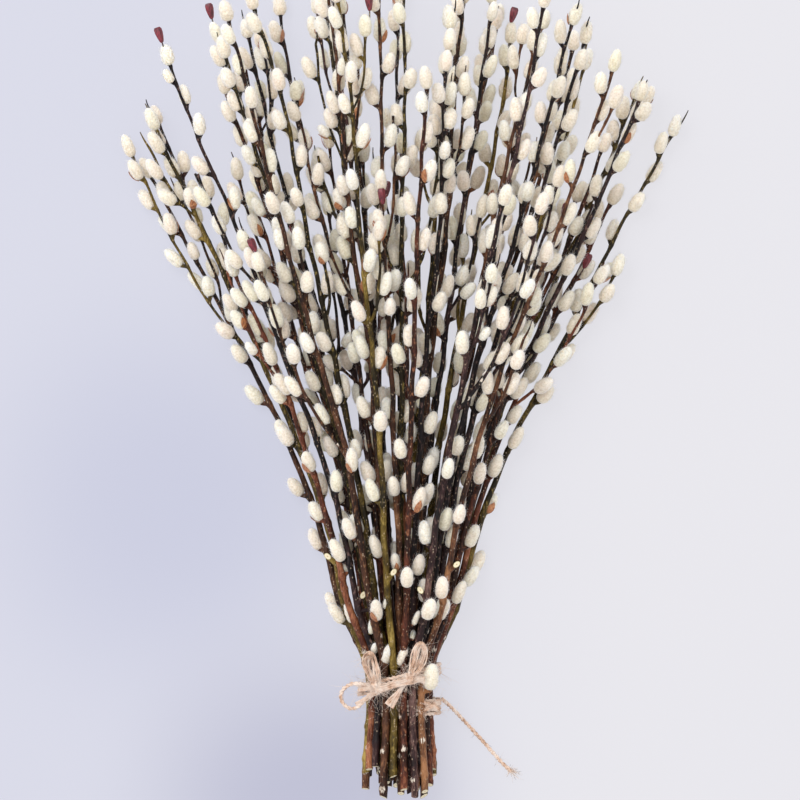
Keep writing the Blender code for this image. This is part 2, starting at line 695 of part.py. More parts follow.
def build():
    for thing in list(bpy.data.objects):
        bpy.data.objects.remove(thing)
    tied, radii = tied_places()
    limbs = main_stems(tied, radii, fanned_places(tied, radii))
    lower = wound(tied[:CORE_STEMS], radii[:CORE_STEMS], LOWER_TURNS, LOWER_BAND_Y, 0.0)
    upper = wound(tied, radii, UPPER_TURNS, UPPER_BAND_Y, UPPER_BAND_TILT)

    taken = Taken()
    for number, limb in enumerate(limbs):
        taken.add(limb.points[:-1], limb.points[1:], limb.radii[:-1], number)
    twine_runs = [lower, upper, np.array(TAIL_ROUTE) * 0.001]
    twine_runs += [laid(route, limbs, (upper,)) for route in BOW_RUNS.values()]
    for run in twine_runs:
        taken.add(run[:-1], run[1:], np.full(len(run) - 1, BOW_RUN_RADIUS), TWINE_OWNER)
    beside_band = band_catkin(limbs[BAND_CATKIN_STEM], taken)
    shoots = {}
    for number in range(0, len(limbs), SHOOT_EVERY):
        shoot = shoot_from(limbs[number], number, taken)
        if shoot:
            shoots[number] = shoot
            taken.add(shoot.points[:-1], shoot.points[1:], shoot.radii[:-1], SHOOT_OWNERS + number)

    fur = principled(*FUR)
    barks = [principled(name, *values) for name, values in BARKS.items()]
    for number, limb in enumerate(limbs):
        growths = grown_on(limb, number, LOWEST_CATKIN + LONGEST_CUT, taken)
        if number in shoots:
            shoot = shoots[number]
            growths += grown_on(shoot, SHOOT_OWNERS + number, LOWEST_ON_SHOOT, taken)
            growths.append(tube_mesh("shoot", shoot.points, shoot.radii, STEM_SIDES))
        if number == BAND_CATKIN_STEM:
            growths.append(catkin_mesh("band_catkin", beside_band))
        if number in STUB_LEVELS:
            growths += stub_on(limb, number, taken)
        body = tube_mesh("stem", limb.points, limb.radii, STEM_SIDES)
        joined("branch_%02d" % (number + 1), body, growths, (barks[number % len(barks)], fur))

    jute = principled(*JUTE)
    placed("twine_lower_band", tube_mesh("lower", lower, TWINE_RADIUS, STEM_SIDES), (jute,))
    placed("twine_upper_band", tube_mesh("upper", upper, TWINE_RADIUS, STEM_SIDES), (jute,))
    add_bow(limbs, (upper,), jute)
    add_tail(jute)


build()
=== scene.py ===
import math

import bpy
import numpy as np
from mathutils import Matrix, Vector


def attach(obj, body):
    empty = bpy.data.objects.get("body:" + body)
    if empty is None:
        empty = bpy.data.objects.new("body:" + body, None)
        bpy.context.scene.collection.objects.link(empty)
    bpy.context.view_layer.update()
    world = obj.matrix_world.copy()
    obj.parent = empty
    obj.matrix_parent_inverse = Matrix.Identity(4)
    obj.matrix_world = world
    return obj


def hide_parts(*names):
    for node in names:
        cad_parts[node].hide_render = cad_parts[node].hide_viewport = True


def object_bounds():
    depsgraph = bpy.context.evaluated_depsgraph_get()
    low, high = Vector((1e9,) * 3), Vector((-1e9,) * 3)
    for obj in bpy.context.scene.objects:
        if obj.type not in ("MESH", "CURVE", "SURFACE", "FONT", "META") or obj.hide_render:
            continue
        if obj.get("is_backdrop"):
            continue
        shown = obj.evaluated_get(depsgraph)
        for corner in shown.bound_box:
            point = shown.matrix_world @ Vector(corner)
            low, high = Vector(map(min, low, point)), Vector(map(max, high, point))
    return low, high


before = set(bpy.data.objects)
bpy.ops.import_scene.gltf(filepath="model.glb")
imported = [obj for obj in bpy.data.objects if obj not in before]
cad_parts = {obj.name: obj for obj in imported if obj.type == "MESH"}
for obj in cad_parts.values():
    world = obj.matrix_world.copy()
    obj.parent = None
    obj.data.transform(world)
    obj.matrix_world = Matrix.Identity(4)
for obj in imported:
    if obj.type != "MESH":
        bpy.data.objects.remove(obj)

cad_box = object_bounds()

# The camera. The bunch lies on its back, and the camera looks straight down on it from far away, so that the
# heights of the branches hardly change their size. The picture is square, 800 pixels for 600 mm.
PICTURE_WIDTH = 0.600
PICTURE_CENTRE = (-0.0016, -0.0110)
CAMERA_HEIGHT = 5.0
LEVEL_IN_SCALE = 0.05
SENSOR = 36.0

camera_data = bpy.data.cameras.new("camera")
camera_data.sensor_width = SENSOR
camera_data.lens = SENSOR * (CAMERA_HEIGHT - LEVEL_IN_SCALE) / PICTURE_WIDTH
camera = bpy.data.objects.new("camera", camera_data)
camera.location = (*PICTURE_CENTRE, CAMERA_HEIGHT)
bpy.context.scene.collection.objects.link(camera)
bpy.context.scene.camera = camera
bpy.context.scene.view_settings.view_transform = "Standard"

# The surface under the bunch: a wide sheet of matt opal plastic. Its colour is painted bluish and darker at
# the left and nearly white at the right, as painted light fall-off, and two soft darker patches at the lower
# left are painted shadows of the bunch. It glows by its own emission, with no lamp under it: painted light,
# so that the branches throw only weak shadows on it. The rest of the light comes from a white room, and from
# one large soft lamp above at the left.
SHEET_HALF_WIDTH, SHEET_LEVEL = 30.0, -0.0001
SHEET_LEFT, SHEET_RIGHT = "#d5d6e3", "#e4e3e8"
SHEET_PAINTED_SHADOWS = (((-0.175, -0.09), 0.23, "#c8cadc"), ((-0.075, -0.32), 0.19, "#bdbed1"))
SHEET_TURNS_AT = (-0.26, 0.20)
SHEET_GLOW, SHEET_REFLECTS = 0.88, 0.13
ROOM_COLOUR, ROOM_STRENGTH = "#f4f4f8", 1.02
LAMP_PLACE, LAMP_WIDTH, LAMP_POWER = (-0.8, 0.9, 2.2), 1.5, 31.0


def linear(hex_colour):
    """An sRGB hex colour as linear red, green, blue and full alpha."""
    values = [int(hex_colour[at:at + 2], 16) / 255.0 for at in (1, 3, 5)]
    return (*[v / 12.92 if v <= 0.04045 else ((v + 0.055) / 1.055) ** 2.4 for v in values], 1.0)


def add(tree, kind, settings=(), links=(), stops=()):
    """Adds a shader node with its options, socket values and links, and gives a ramp its stops."""
    made = tree.nodes.new("ShaderNode" + kind)
    for name, value in dict(settings).items():
        if isinstance(name, int) or name in made.inputs:
            made.inputs[name].default_value = value
        else:
            setattr(made, name, value)
    for name, source in dict(links).items():
        tree.links.new(source, made.inputs[name])
    for number, (place, colour) in enumerate(stops):
        ramp = made.color_ramp.elements
        stop = ramp[number] if number < 2 else ramp.new(place)
        stop.position, stop.color = place, linear(colour)
    return made


def new_material(name):
    """An empty material and its node tree, with the output's surface socket still free."""
    material = bpy.data.materials.new(name)
    material.use_nodes = True
    material.node_tree.nodes.clear()
    return material, material.node_tree


glowing_sheet, tree = new_material("opal_sheet_painted_glow_and_shadow")
where = add(tree, "TexCoord").outputs["Object"]
across = add(tree, "SeparateXYZ", links={0: where}).outputs["X"]
# The sheet is painted darker and bluish at the left and nearly white at the right: painted light fall-off
# across it.
share = add(tree, "MapRange",
            {1: SHEET_TURNS_AT[0], 2: SHEET_TURNS_AT[1], "interpolation_type": "SMOOTHSTEP"},
            {0: across}).outputs[0]
tone = add(tree, "ValToRGB", links={0: share}, stops=((0.0, SHEET_LEFT), (1.0, SHEET_RIGHT))).outputs[0]
# Two soft darker patches at the lower left: painted shadows of the bunch on the sheet.
for place, width, colour in SHEET_PAINTED_SHADOWS:
    away = add(tree, "VectorMath", {"operation": "DISTANCE", 1: (*place, 0.0)}, {0: where}).outputs["Value"]
    dark = add(tree, "MapRange", {1: 0.0, 2: width, 3: 1.0, 4: 0.0, "interpolation_type": "SMOOTHERSTEP"},
               {0: away}).outputs[0]
    tone = add(tree, "Mix", {"data_type": "RGBA", 7: linear(colour)}, {0: dark, 6: tone}).outputs[2]
matt = add(tree, "VectorMath", {"operation": "SCALE", 3: SHEET_REFLECTS}, {0: tone}).outputs[0]
# The sheet glows by its own emission though no lamp is under it: painted light that thins the branches'
# shadows on it.
face = add(tree, "BsdfPrincipled",
           {"Roughness": 0.9, "Specular IOR Level": 0.2, "Emission Strength": SHEET_GLOW},
           {"Base Color": matt, "Emission Color": tone})
add(tree, "OutputMaterial", links={0: face.outputs[0]})

sheet = bpy.data.meshes.new("paper")
w = SHEET_HALF_WIDTH
corners = [(x, y, SHEET_LEVEL) for x, y in ((-w, -w), (w, -w), (w, w), (-w, w))]
sheet.from_pydata(corners, [], [(0, 1, 2, 3)])
sheet.materials.append(glowing_sheet)
floor = bpy.data.objects.new("studio_paper", sheet)
bpy.context.scene.collection.objects.link(floor)
floor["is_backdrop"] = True

room = bpy.data.worlds.new("white_room")
room.use_nodes = True
room.node_tree.nodes["Background"].inputs["Color"].default_value = linear(ROOM_COLOUR)
room.node_tree.nodes["Background"].inputs["Strength"].default_value = ROOM_STRENGTH
bpy.context.scene.world = room

lamp_data = bpy.data.lights.new("soft_lamp", "AREA")
lamp_data.shape, lamp_data.size, lamp_data.energy = "DISK", LAMP_WIDTH, LAMP_POWER
lamp = bpy.data.objects.new("soft_lamp", lamp_data)
lamp.location = LAMP_PLACE
lamp.rotation_euler = (-Vector(LAMP_PLACE)).to_track_quat("-Z", "Y").to_euler()
bpy.context.scene.collection.objects.link(lamp)

# The lines of the branches: 45 one-year willow rods, cut on one day and gathered by hand. They lie side by
# side where they are tied, fan out above, and the lowest lie along the surface. The CAD model has the same
# lines.
SEED = 11
FULL_TURN, PHASES = 2.0 * math.pi, (0.0, 6.28)
TIE_X, TIE_Y = -0.0016, -0.2285
CORE_STEMS, FRONT_STEMS = 35, 10
FRONT_ANGLES = (62.0, 201.0)
TIE_ROUNDS, STATION_ROUNDS, PUSH = 900, 120, 0.52
SURFACE_GAP = 0.0001
CORE_X = 0.0045
CORE_HALF_WIDTH, CORE_HALF_HEIGHT = 0.0238, 0.0176
FAN_HALF_WIDTH, FAN_HALF_HEIGHT = 0.210, 0.068
LOWEST_STEM, LOWEST_DIP, LOWEST_RISE, DIP_FADES = 0.0095, 0.0035, 0.0020, 4.0
EVENING, EVENED_WIDTH, ROUNDNESS, SWAY_GROWS = 0.65, 1.03, 0.9, 1.6
REACH, REACH_AT_SIDES, REACH_CURVE, FURTHEST_SIDE = 0.531, 0.122, 2.0, 1.15
UNEVEN_TIPS = 0.016
SHORT_BRANCH_EVERY, SHORT_BY = 4, (0.02, 0.11)
SHORTEST_CUT, LONGEST_CUT = 0.058, 0.083
TIP_PAST_STATION = 0.025
STRAY_AT_FAN_LEVEL = (0.0100, 0.0050)
SWAY_BETWEEN_STATIONS = (0.0026, 0.0022)
STEM_RADIUS, TIP_RADIUS, STEM_GAP = (0.0026, 0.0030), (0.0010, 0.0013), 0.0004
STATIONS = (0.021, 0.062, 0.112, 0.172, 0.250, 0.340, 0.440, 0.560)
FAN_SHARES = (0.0, 0.090, 0.160, 0.268, 0.450, 0.700, 0.960, 1.260)
ROOM = (0.0004, 0.0005, 0.0014, 0.0036, 0.0075, 0.0090, 0.0100, 0.0100)
SWAY_STARTS, SWAYS = (0.03, 0.13), ((0.061, 0.00042), (0.034, 0.00022))
TWINE_RADIUS, TWINE_GAP = 0.0015, 0.0003


def draws(*key):
    """Random draws of their own for one thing, so that no thing's draws depend on another's."""
    return np.random.default_rng((SEED, *key))


def unit(vector):
    return vector / np.linalg.norm(vector)


def push_apart(places, radii, room, rounds):
    """Moves circles until none lies nearer to another than room."""
    need = radii[:, None] + radii[None] + room
    for _ in range(rounds):
        between = places[:, None] - places[None]
        apart = np.linalg.norm(between, axis=2)
        np.fill_diagonal(apart, 1.0)
        short = np.clip(need - apart, 0.0, None)
        np.fill_diagonal(short, 0.0)
        places = places + PUSH * (between * (short / apart)[..., None]).sum(axis=1)
        yield places


def tied_places():
    """Where each stem stands in the tie, as x and z, and its radius. The front stems come last."""
    draw = draws(1)
    radii = draw.uniform(*STEM_RADIUS, CORE_STEMS + FRONT_STEMS)
    core_radii = radii[:CORE_STEMS]
    number = np.arange(CORE_STEMS)
    turn = number * math.pi * (3.0 - math.sqrt(5.0))
    out = np.sqrt((number + 0.5) / CORE_STEMS)
    half = np.array((CORE_HALF_WIDTH, CORE_HALF_HEIGHT))
    core = np.stack((np.cos(turn), np.sin(turn)), axis=1) * out[:, None] * half * ROUNDNESS
    for core in push_apart(core, core_radii, STEM_GAP, TIE_ROUNDS):
        limit = half[None] - core_radii[:, None]
        past = np.linalg.norm(core / limit, axis=1)
        core /= np.maximum(past, 1.0)[:, None]
    twine = 2.0 * TWINE_RADIUS + 3.0 * TWINE_GAP
    level = half[1] + 2.0 * TWINE_RADIUS + SURFACE_GAP
    core += (CORE_X, level)
    angles = np.radians(np.linspace(*FRONT_ANGLES, FRONT_STEMS))
    ring = half[None] + twine + radii[CORE_STEMS:, None]
    front = np.stack((np.cos(angles), np.sin(angles)), axis=1) * ring + (CORE_X, level)
    return np.concatenate((core, front)), radii


def evened(across):
    """Shares the stems out more evenly to both sides, in the same order, as a round bunch would spread."""
    order = np.argsort(np.argsort(across))
    grid = np.linspace(-1.0, 1.0, 201)
    filled = np.cumsum(np.sqrt(1.0 - grid**2))
    ideal = np.interp((order + 0.5) / len(across), filled / filled[-1], grid)
    return np.clip((1.0 - EVENING) * across + EVENING * ideal * EVENED_WIDTH, -1.0, 1.0)


def fanned_places(tied, radii):
    """The stems' places at each station. They open sideways and up, and the lowest lie along the surface."""
    draw = draws(2)
    centre = (tied.max(axis=0) + tied.min(axis=0)) / 2.0
    half = (tied.max(axis=0) - tied.min(axis=0)) / 2.0
    across, up = ((tied - centre) / half).T
    across = evened(across)
    level = np.clip(up + ROUNDNESS * np.sqrt(1.0 - across**2), 0.0, None)
    ends = np.stack((FAN_HALF_WIDTH * across, LOWEST_STEM + FAN_HALF_HEIGHT * level - tied[:, 1]), axis=1)
    ends += draw.normal(0.0, STRAY_AT_FAN_LEVEL, ends.shape)
    sway = draw.normal(0.0, SWAY_BETWEEN_STATIONS, (len(STATIONS), *ends.shape))
    stations = [tied]
    for number in range(1, len(STATIONS)):
        share = FAN_SHARES[number]
        places = tied + ends * share + sway[number] * min(1.0, SWAY_GROWS * share)
        for places in push_apart(places, radii, ROOM[number], STATION_ROUNDS):
            floor_level = LOWEST_STEM - LOWEST_DIP * (1.0 - min(1.0, DIP_FADES * share))
            places[:, 1] = np.maximum(places[:, 1],
                                      np.minimum(floor_level, tied[:, 1] + LOWEST_RISE * number))
        stations.append(places)
    return stations


class Limb:
    """One run of wood: its points, its radii, its length up to each point, and its smooth line."""

    def __init__(self, points, radii, owner):
        self.points = np.array(points, dtype=float)
        self.radii = np.array(radii, dtype=float)
        self.owner = owner
        steps = np.linalg.norm(np.diff(self.points, axis=0), axis=1)
        self.reach = np.concatenate(((0.0,), np.cumsum(steps)))

    def at(self, length):
        """The point, direction and radius this far along, on the straight runs from point to point."""
        piece = int(np.clip(np.searchsorted(self.reach, length) - 1, 0, len(self.reach) - 2))
        share = (length - self.reach[piece]) / (self.reach[piece + 1] - self.reach[piece])
        step = self.points[piece + 1] - self.points[piece]
        radius = self.radii[piece] + share * (self.radii[piece + 1] - self.radii[piece])
        return self.points[piece] + share * step, unit(step), radius

    def grown(self, lengths):
        """Points on the smooth line that the wood has grown along, with its slight sway from node to node."""
        lengths = np.atleast_1d(lengths)
        spans = np.diff(self.reach)
        slopes = np.diff(self.points, axis=0) / spans[:, None]
        between = slopes[:-1] * spans[1:, None] + slopes[1:] * spans[:-1, None]
        tangents = np.vstack((slopes[:1], between / (spans[:-1] + spans[1:])[:, None], slopes[-1:]))
        piece = np.clip(np.searchsorted(self.reach, lengths) - 1, 0, len(spans) - 1)
        span, t = spans[piece][:, None], ((lengths - self.reach[piece]) / spans[piece])[:, None]
        start, end = self.points[piece], self.points[piece + 1]
        line = (1.0 + 2.0 * t) * (1.0 - t) ** 2 * start + t * t * (3.0 - 2.0 * t) * end
        line += span * t * (1.0 - t) * ((1.0 - t) * tangents[piece] - t * tangents[piece + 1])
        draw = draws(20, self.owner)
        free = np.clip((line[:, 1] - SWAY_STARTS[0]) / (SWAY_STARTS[1] - SWAY_STARTS[0]), 0.0, 1.0)
        for axis in (0, 2):
            for wave, size in SWAYS:
                line[:, axis] += free * size * np.sin(FULL_TURN * lengths / wave + draw.uniform(*PHASES))
        return line


class Taken:
    """The space already taken, as round-ended rods, so that nothing new is put through it."""

    def __init__(self):
        self.starts = np.zeros((0, 3))
        self.ends = np.zeros((0, 3))
        self.radii = np.zeros(0)
        self.owners = np.zeros(0, dtype=int)

    def add(self, starts, ends, radii, owner):
        self.starts = np.concatenate((self.starts, np.atleast_2d(starts)))
        self.ends = np.concatenate((self.ends, np.atleast_2d(ends)))
        self.radii = np.concatenate((self.radii, np.atleast_1d(radii)))
        self.owners = np.concatenate((self.owners, np.full(len(np.atleast_1d(radii)), owner)))

    def room(self, start, end, radius, spared):
        """The least gap between a new rod and those taken, leaving out the owners that are spared."""
        kept = ~np.isin(self.owners, spared)
        run, runs = end - start, (self.ends - self.starts)[kept]
        between = start - self.starts[kept]
        square, squares = run @ run, (runs * runs).sum(axis=1)
        cross, far = runs @ run, (runs * between).sum(axis=1)
        near = between @ run
        spread = square * squares - cross**2
        along = np.where(spread > 1e-16, (cross * far - near * squares) / np.maximum(spread, 1e-16), 0.0)
        other = np.clip((cross * np.clip(along, 0.0, 1.0) + far) / squares, 0.0, 1.0)
        along = np.clip((cross * other - near) / square, 0.0, 1.0)
        gaps = np.linalg.norm(between + along[:, None] * run - other[:, None] * runs, axis=1)
        return float((gaps - self.radii[kept]).min() - radius)


def main_stems(tied, radii, stations):
    """One limb for each branch, from its cut end to its tip."""
    limbs = []
    levels = np.array(STATIONS)
    for number, (place, radius) in enumerate(zip(tied, radii)):
        draw = draws(3, number)
        side = min(FURTHEST_SIDE, abs(stations[-2][number][0]) / (FAN_HALF_WIDTH + CORE_HALF_WIDTH))
        tip = REACH - REACH_AT_SIDES * side**REACH_CURVE - abs(draw.normal(0.0, UNEVEN_TIPS))
        if number % SHORT_BRANCH_EVERY == 1:
            tip -= draw.uniform(*SHORT_BY)
        cut = -draw.uniform(SHORTEST_CUT, LONGEST_CUT)
        points = [(place[0], cut, place[1])]
        for level, at_station in zip(levels, stations):
            if level < tip - TIP_PAST_STATION:
                points.append((at_station[number][0], level, at_station[number][1]))
        x = np.interp(tip, levels, [s[number][0] for s in stations])
        z = np.interp(tip, levels, [s[number][1] for s in stations])
        points.append((x, tip, z))
        end = draw.uniform(*TIP_RADIUS)
        shares = [max(0.0, p[1]) / tip for p in points]
        limbs.append(Limb(points, [radius + (end - radius) * share for share in shares], number))
    return limbs


tied, tied_radii = tied_places()
limbs = main_stems(tied, tied_radii, fanned_places(tied, tied_radii))
taken = Taken()
for limb in limbs:
    taken.add(limb.points[:-1], limb.points[1:], limb.radii[:-1], limb.owner)

# The lower band: four turns of natural jute twine, two plies laid round each other, drawn tight round the 35
# inner branches. Only its right end shows from above, because the front branches lie over it.
TWINE_PITCH = 0.0032
TURN_START = -100.0
FINE_STEPS = 180
LONGEST_TOUCH = 16
LOWER_TURNS, LOWER_BAND_Y = 4, -0.0205
TWINE_OWNER, BOW_RUN_RADIUS = 3000, 0.0016
TWIST_LENGTH = 0.0078
PLY_RADIUS, PLY_OFFSET, PLY_SIDES = 0.00090, 0.00068, 8
PLY_STEP = 0.0010
PLY_LUMPS, PLY_LUMP_LENGTH, PLY_RIDGES, PLY_RIDGE_WAVE, PLY_ROUGHNESS = 0.08, 0.0035, 0.11, 0.0016, 0.05
JUTE_DARK, JUTE_MID, JUTE_LIGHT = "#8b6850", "#dab69b", "#eddbcb"
FIBRE_WIDTH, FIBRE_POINTS, FIBRE_TAPER = 0.00012, 5, 0.6
FIBRE_LEAVES, FIBRE_BENDS, FIBRE_BACK, FIBRE_CURL, FIBRE_STARTS = 0.35, 0.55, 0.3, 0.28, 0.9
LAID_GAP = 0.0002
LAID_OVER = ((-0.0015, 0.0, 0.0015), (-0.002, 0.0, 0.002))
OPEN_STRANDS, OPEN_STRAND_RADIUS, OPEN_SPREAD, STRAND_VARIES = 6, 0.00060, 0.0021, (0.85, 1.15)
STRAND_WANDER, STRAND_LIFT = (0.22, 0.0042), (0.0005, 0.0061)
CURVE_PARTS = 6
LOWER_FRAY = (0.0024, (0.004, 0.011), TWINE_RADIUS)
LAID_SPREAD, LAID_FRAY = (0.0014,), (0.0006, (0.003, 0.009), TWINE_RADIUS)
LOWEST_POINT = 0.0002
OVER_LOWER_BAND = (
    ((15.0, -9.6, 0), (20.0, -11.0, 0), (25.0, -13.6, 0), (29.6, -16.2, 0)),
    ((15.0, -17.6, 0), (20.0, -14.6, 0), (25.0, -11.6, 0), (30.4, -9.2, 0)),
)


def touching_steps(touched):
    """Fine steps of a turn where the twine's middle gets a point, about one for each stem that it touches."""
    starts = np.flatnonzero(touched != np.roll(touched, 1))
    steps = []
    for first, after in zip(starts, np.append(starts[1:], starts[0] + FINE_STEPS)):
        pieces = max(1, round((after - first) / LONGEST_TOUCH))
        steps += [(first + (after - first) * (piece + 0.5) / pieces) % FINE_STEPS for piece in range(pieces)]
    return sorted(int(step) for step in steps)


def wound(tied, radii, turns, first_y, tilt):
    """The middle of twine wound tightly round some stems, turn beside turn."""
    angles = np.radians(TURN_START) - FULL_TURN * np.arange(FINE_STEPS) / FINE_STEPS
    ways = np.stack((np.cos(angles), np.sin(angles)), axis=1)
    touched = np.argmax(ways @ tied.T + radii, axis=1)
    steps = [step + FINE_STEPS * turn for turn in range(turns) for step in touching_steps(touched)]
    points = []
    for step in steps:
        stem, way = touched[step % FINE_STEPS], ways[step % FINE_STEPS]
        x, z = tied[stem] + way * (radii[stem] + TWINE_GAP + TWINE_RADIUS)
        points.append((x, first_y + TWINE_PITCH * step / FINE_STEPS + tilt * x, z))
    return np.array(points)


def smoothed(points, parts):
    """Points on a smooth curve through the given ones, with so many parts between each two."""
    count = len(points)
    found = []
    for number in range(count - 1):
        a, b = points[max(number - 1, 0)], points[number]
        c, d = points[number + 1], points[min(number + 2, count - 1)]
        for part in range(parts):
            t = part / parts
            bend = 2.0 * a - 5.0 * b + 4.0 * c - d
            twist = 3.0 * b - a - 3.0 * c + d
            found.append(b + 0.5 * (t * (c - a) + t * t * bend + t**3 * twist))
    return np.array(found + [points[-1]])


def reach_of(points):
    """The length along a run of points up to each one."""
    return np.concatenate(((0.0,), np.cumsum(np.linalg.norm(np.diff(points, axis=0), axis=1))))


def spaced(points, step):
    """Points at about this distance from each other along a run of close points."""
    reach = reach_of(points)
    levels = np.linspace(0.0, reach[-1], 1 + round(reach[-1] / step))
    return np.stack([np.interp(levels, reach, points[:, axis]) for axis in range(3)], axis=1)


def ring_quads(rings, sides):
    """The four-sided faces between rings of points, each ring with so many sides."""
    ring = np.arange(rings - 1)[:, None] * sides
    side, after = np.arange(sides)[None], (np.arange(sides)[None] + 1) % sides
    quads = np.stack((ring + side, ring + after, ring + sides + after, ring + sides + side), axis=-1)
    return quads.reshape(-1, 4)


def ways_round(right, up, sides):
    """Directions evenly spaced round each point of a run, from two directions square to it."""
    angles = FULL_TURN * np.arange(sides) / sides
    return np.cos(angles)[:, None] * right[..., None, :] + np.sin(angles)[:, None] * up[..., None, :]


def ways_along(points):
    """For each point of a run its direction, and two directions square to it that don't turn round it."""
    ways = np.gradient(points, axis=0)
    ways /= np.linalg.norm(ways, axis=1)[:, None]
    side = np.cross(ways[0], (0.0, 0.0, 1.0) if abs(ways[0][2]) < 0.9 else (1.0, 0.0, 0.0))
    sides = []
    for way in ways:
        side = unit(side - way * (side @ way))
        sides.append(side)
    sides = np.array(sides)
    return ways, sides, np.cross(ways, sides)


class Piece:
    """The shapes of one piece: their vertices, faces, materials and, for each vertex, three marks."""

    def __init__(self):
        self.verts, self.faces, self.slots, self.marks, self.count = [], [], [], [], 0

    def put(self, verts, faces, marks, slot=0):
        verts = np.asarray(verts, dtype=float).reshape(-1, 3)
        for some in faces:
            some = np.asarray(some) + self.count
            self.faces += some.tolist()
            self.slots += [slot] * len(some)
        self.verts.append(verts)
        self.marks.append(np.broadcast_to(np.asarray(marks, dtype=float), verts.shape))
        self.count += len(verts)

    def tube(self, points, radii, sides, marks, slot=0, ends=(True, True)):
        """A tube along points. radii has one value, one for each point, or some for each point's sides."""
        _, right, up = ways_along(points)
        radii = np.reshape(radii, (-1, 1)) if np.ndim(radii) < 2 else radii
        radii = np.broadcast_to(radii, (len(points), sides))
        verts = (points[:, None] + radii[..., None] * ways_round(right, up, sides)).reshape(-1, 3)
        faces = [ring_quads(len(points), sides)]
        if ends[0]:
            faces.append(np.arange(sides)[None, ::-1])
        if ends[1]:
            faces.append((len(points) - 1) * sides + np.arange(sides)[None])
        marks = np.repeat(marks, sides, axis=0) if np.ndim(marks) == 2 else marks
        self.put(verts, faces, marks, slot)

    def make(self, name, materials, slot_name, nodes=(), smooth_to=None):
        """The Blender object, riding on the part, with its finish and the CAD nodes that it stands for."""
        mesh = bpy.data.meshes.new(name)
        verts = np.concatenate(self.verts)
        verts[:, 2] = np.maximum(verts[:, 2], LOWEST_POINT)
        mesh.from_pydata(verts.tolist(), [], self.faces)
        mesh.polygons.foreach_set("material_index", self.slots)
        marks = mesh.attributes.new("marks", "FLOAT_VECTOR", "POINT")
        marks.data.foreach_set("vector", np.concatenate(self.marks).astype(np.float32).ravel())
        for material in materials:
            mesh.materials.append(material)
        mesh.shade_smooth()
        if smooth_to:
            mesh.set_sharp_from_angle(angle=math.radians(smooth_to))
        mesh.update()
        thing = bpy.data.objects.new(name, mesh)
        thing.location = (TIE_X, TIE_Y, 0.0)
        bpy.context.scene.collection.objects.link(thing)
        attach(thing, "root")
        if nodes:
            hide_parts(*nodes)
        return thing


def ply(piece, points, radius, tone, draw):
    """One soft-spun ply: a tube whose surface has the ridges and lumps of its fibres."""
    count, turns = len(points), np.arange(PLY_SIDES) / PLY_SIDES * FULL_TURN
    reach = reach_of(points)
    spots = np.arange(0.0, reach[-1] + PLY_LUMP_LENGTH, PLY_LUMP_LENGTH)
    lumps = np.interp(reach, spots, draw.normal(0.0, PLY_LUMPS, len(spots)))
    ridges = PLY_RIDGES * np.sin(3.0 * turns[None] + reach[:, None] / PLY_RIDGE_WAVE)
    ridges = ridges + draw.normal(0.0, PLY_ROUGHNESS, (count, PLY_SIDES))
    piece.tube(points, radius * (1.0 + lumps[:, None] + ridges), PLY_SIDES, (0.0, tone, 0.0))


def two_ply(piece, points, draw, radius=TWINE_RADIUS):
    """Twine along a run: two plies laid round each other."""
    points = spaced(points, PLY_STEP)
    _, right, up = ways_along(points)
    angle = (FULL_TURN * reach_of(points) / TWIST_LENGTH + draw.uniform(*PHASES))[:, None]
    size = radius / TWINE_RADIUS
    for half_turn in (0.0, math.pi):
        out = np.cos(angle + half_turn) * right + np.sin(angle + half_turn) * up
        ply(piece, points + out * PLY_OFFSET * size, PLY_RADIUS * size, draw.uniform(0.2, 0.8), draw)
    return points


def fibre(piece, start, way, out, length, tone, draw, width=FIBRE_WIDTH):
    """A loose jute fibre that leaves the twine along it and bends away."""
    t = np.linspace(0.0, 1.0, FIBRE_POINTS)[:, None]
    curl = draw.normal(0.0, FIBRE_CURL, 3)
    bend = FIBRE_BENDS * out + curl - FIBRE_BACK * way * draw.random()
    line = start + length * (t * (way + FIBRE_LEAVES * out) + t * t * bend)
    piece.tube(line, width * (1.0 - FIBRE_TAPER * t[:, 0]), 3, (0.0, tone, 1.0))


def fray(piece, points, spacing, lengths, radius, draw):
    """Loose fibres all along a run of twine."""
    ways, right, up = ways_along(points)
    reach = reach_of(points)
    for _ in range(int(reach[-1] / spacing)):
        at = draw.integers(1, len(points) - 1)
        angle = draw.uniform(0.0, FULL_TURN)
        out = math.cos(angle) * right[at] + math.sin(angle) * up[at]
        way = ways[at] * draw.choice((-1.0, 1.0))
        start = points[at] + out * radius * FIBRE_STARTS
        fibre(piece, start, way, out, draw.uniform(*lengths), draw.random(), draw)


def rest_height(x, y, limbs, bands):
    """How high the middle of the twine lies at a place, on the stems and on the bands below it."""
    best = 0.0
    for limb in limbs:
        across, level = (np.interp(y, limb.points[:, 1], limb.points[:, axis]) for axis in (0, 2))
        lift = np.interp(y, limb.points[:, 1], limb.radii) + TWINE_RADIUS + TWINE_GAP
        if abs(x - across) < lift:
            best = max(best, level + math.sqrt(lift**2 - (x - across) ** 2))
    lift = 2.0 * TWINE_RADIUS + TWINE_GAP
    for band in bands:
        for a, b in zip(band[:-1], band[1:]):
            run = (b - a)[:2]
            share = np.clip(((x, y) - a[:2]) @ run / (run @ run), 0.0, 1.0)
            near = a + share * (b - a)
            aside = math.hypot(x - near[0], y - near[1])
            if aside < lift:
                best = max(best, near[2] + math.sqrt(lift**2 - aside**2))
    return best


def laid(route, limbs, bands):
    """A run of twine over the stems and bands: a route in mm of x, y and the least height, lifted clear."""
    points = []
    for x, y, least in np.array(route) * 0.001:
        nearby = [(x + dx, y + dy) for dx in LAID_OVER[0] for dy in LAID_OVER[1]]
        height = max(rest_height(*place, limbs, bands) for place in nearby)
        points.append((x, y, max(least, height + LAID_GAP)))
    return smoothed(np.array(points), 1)


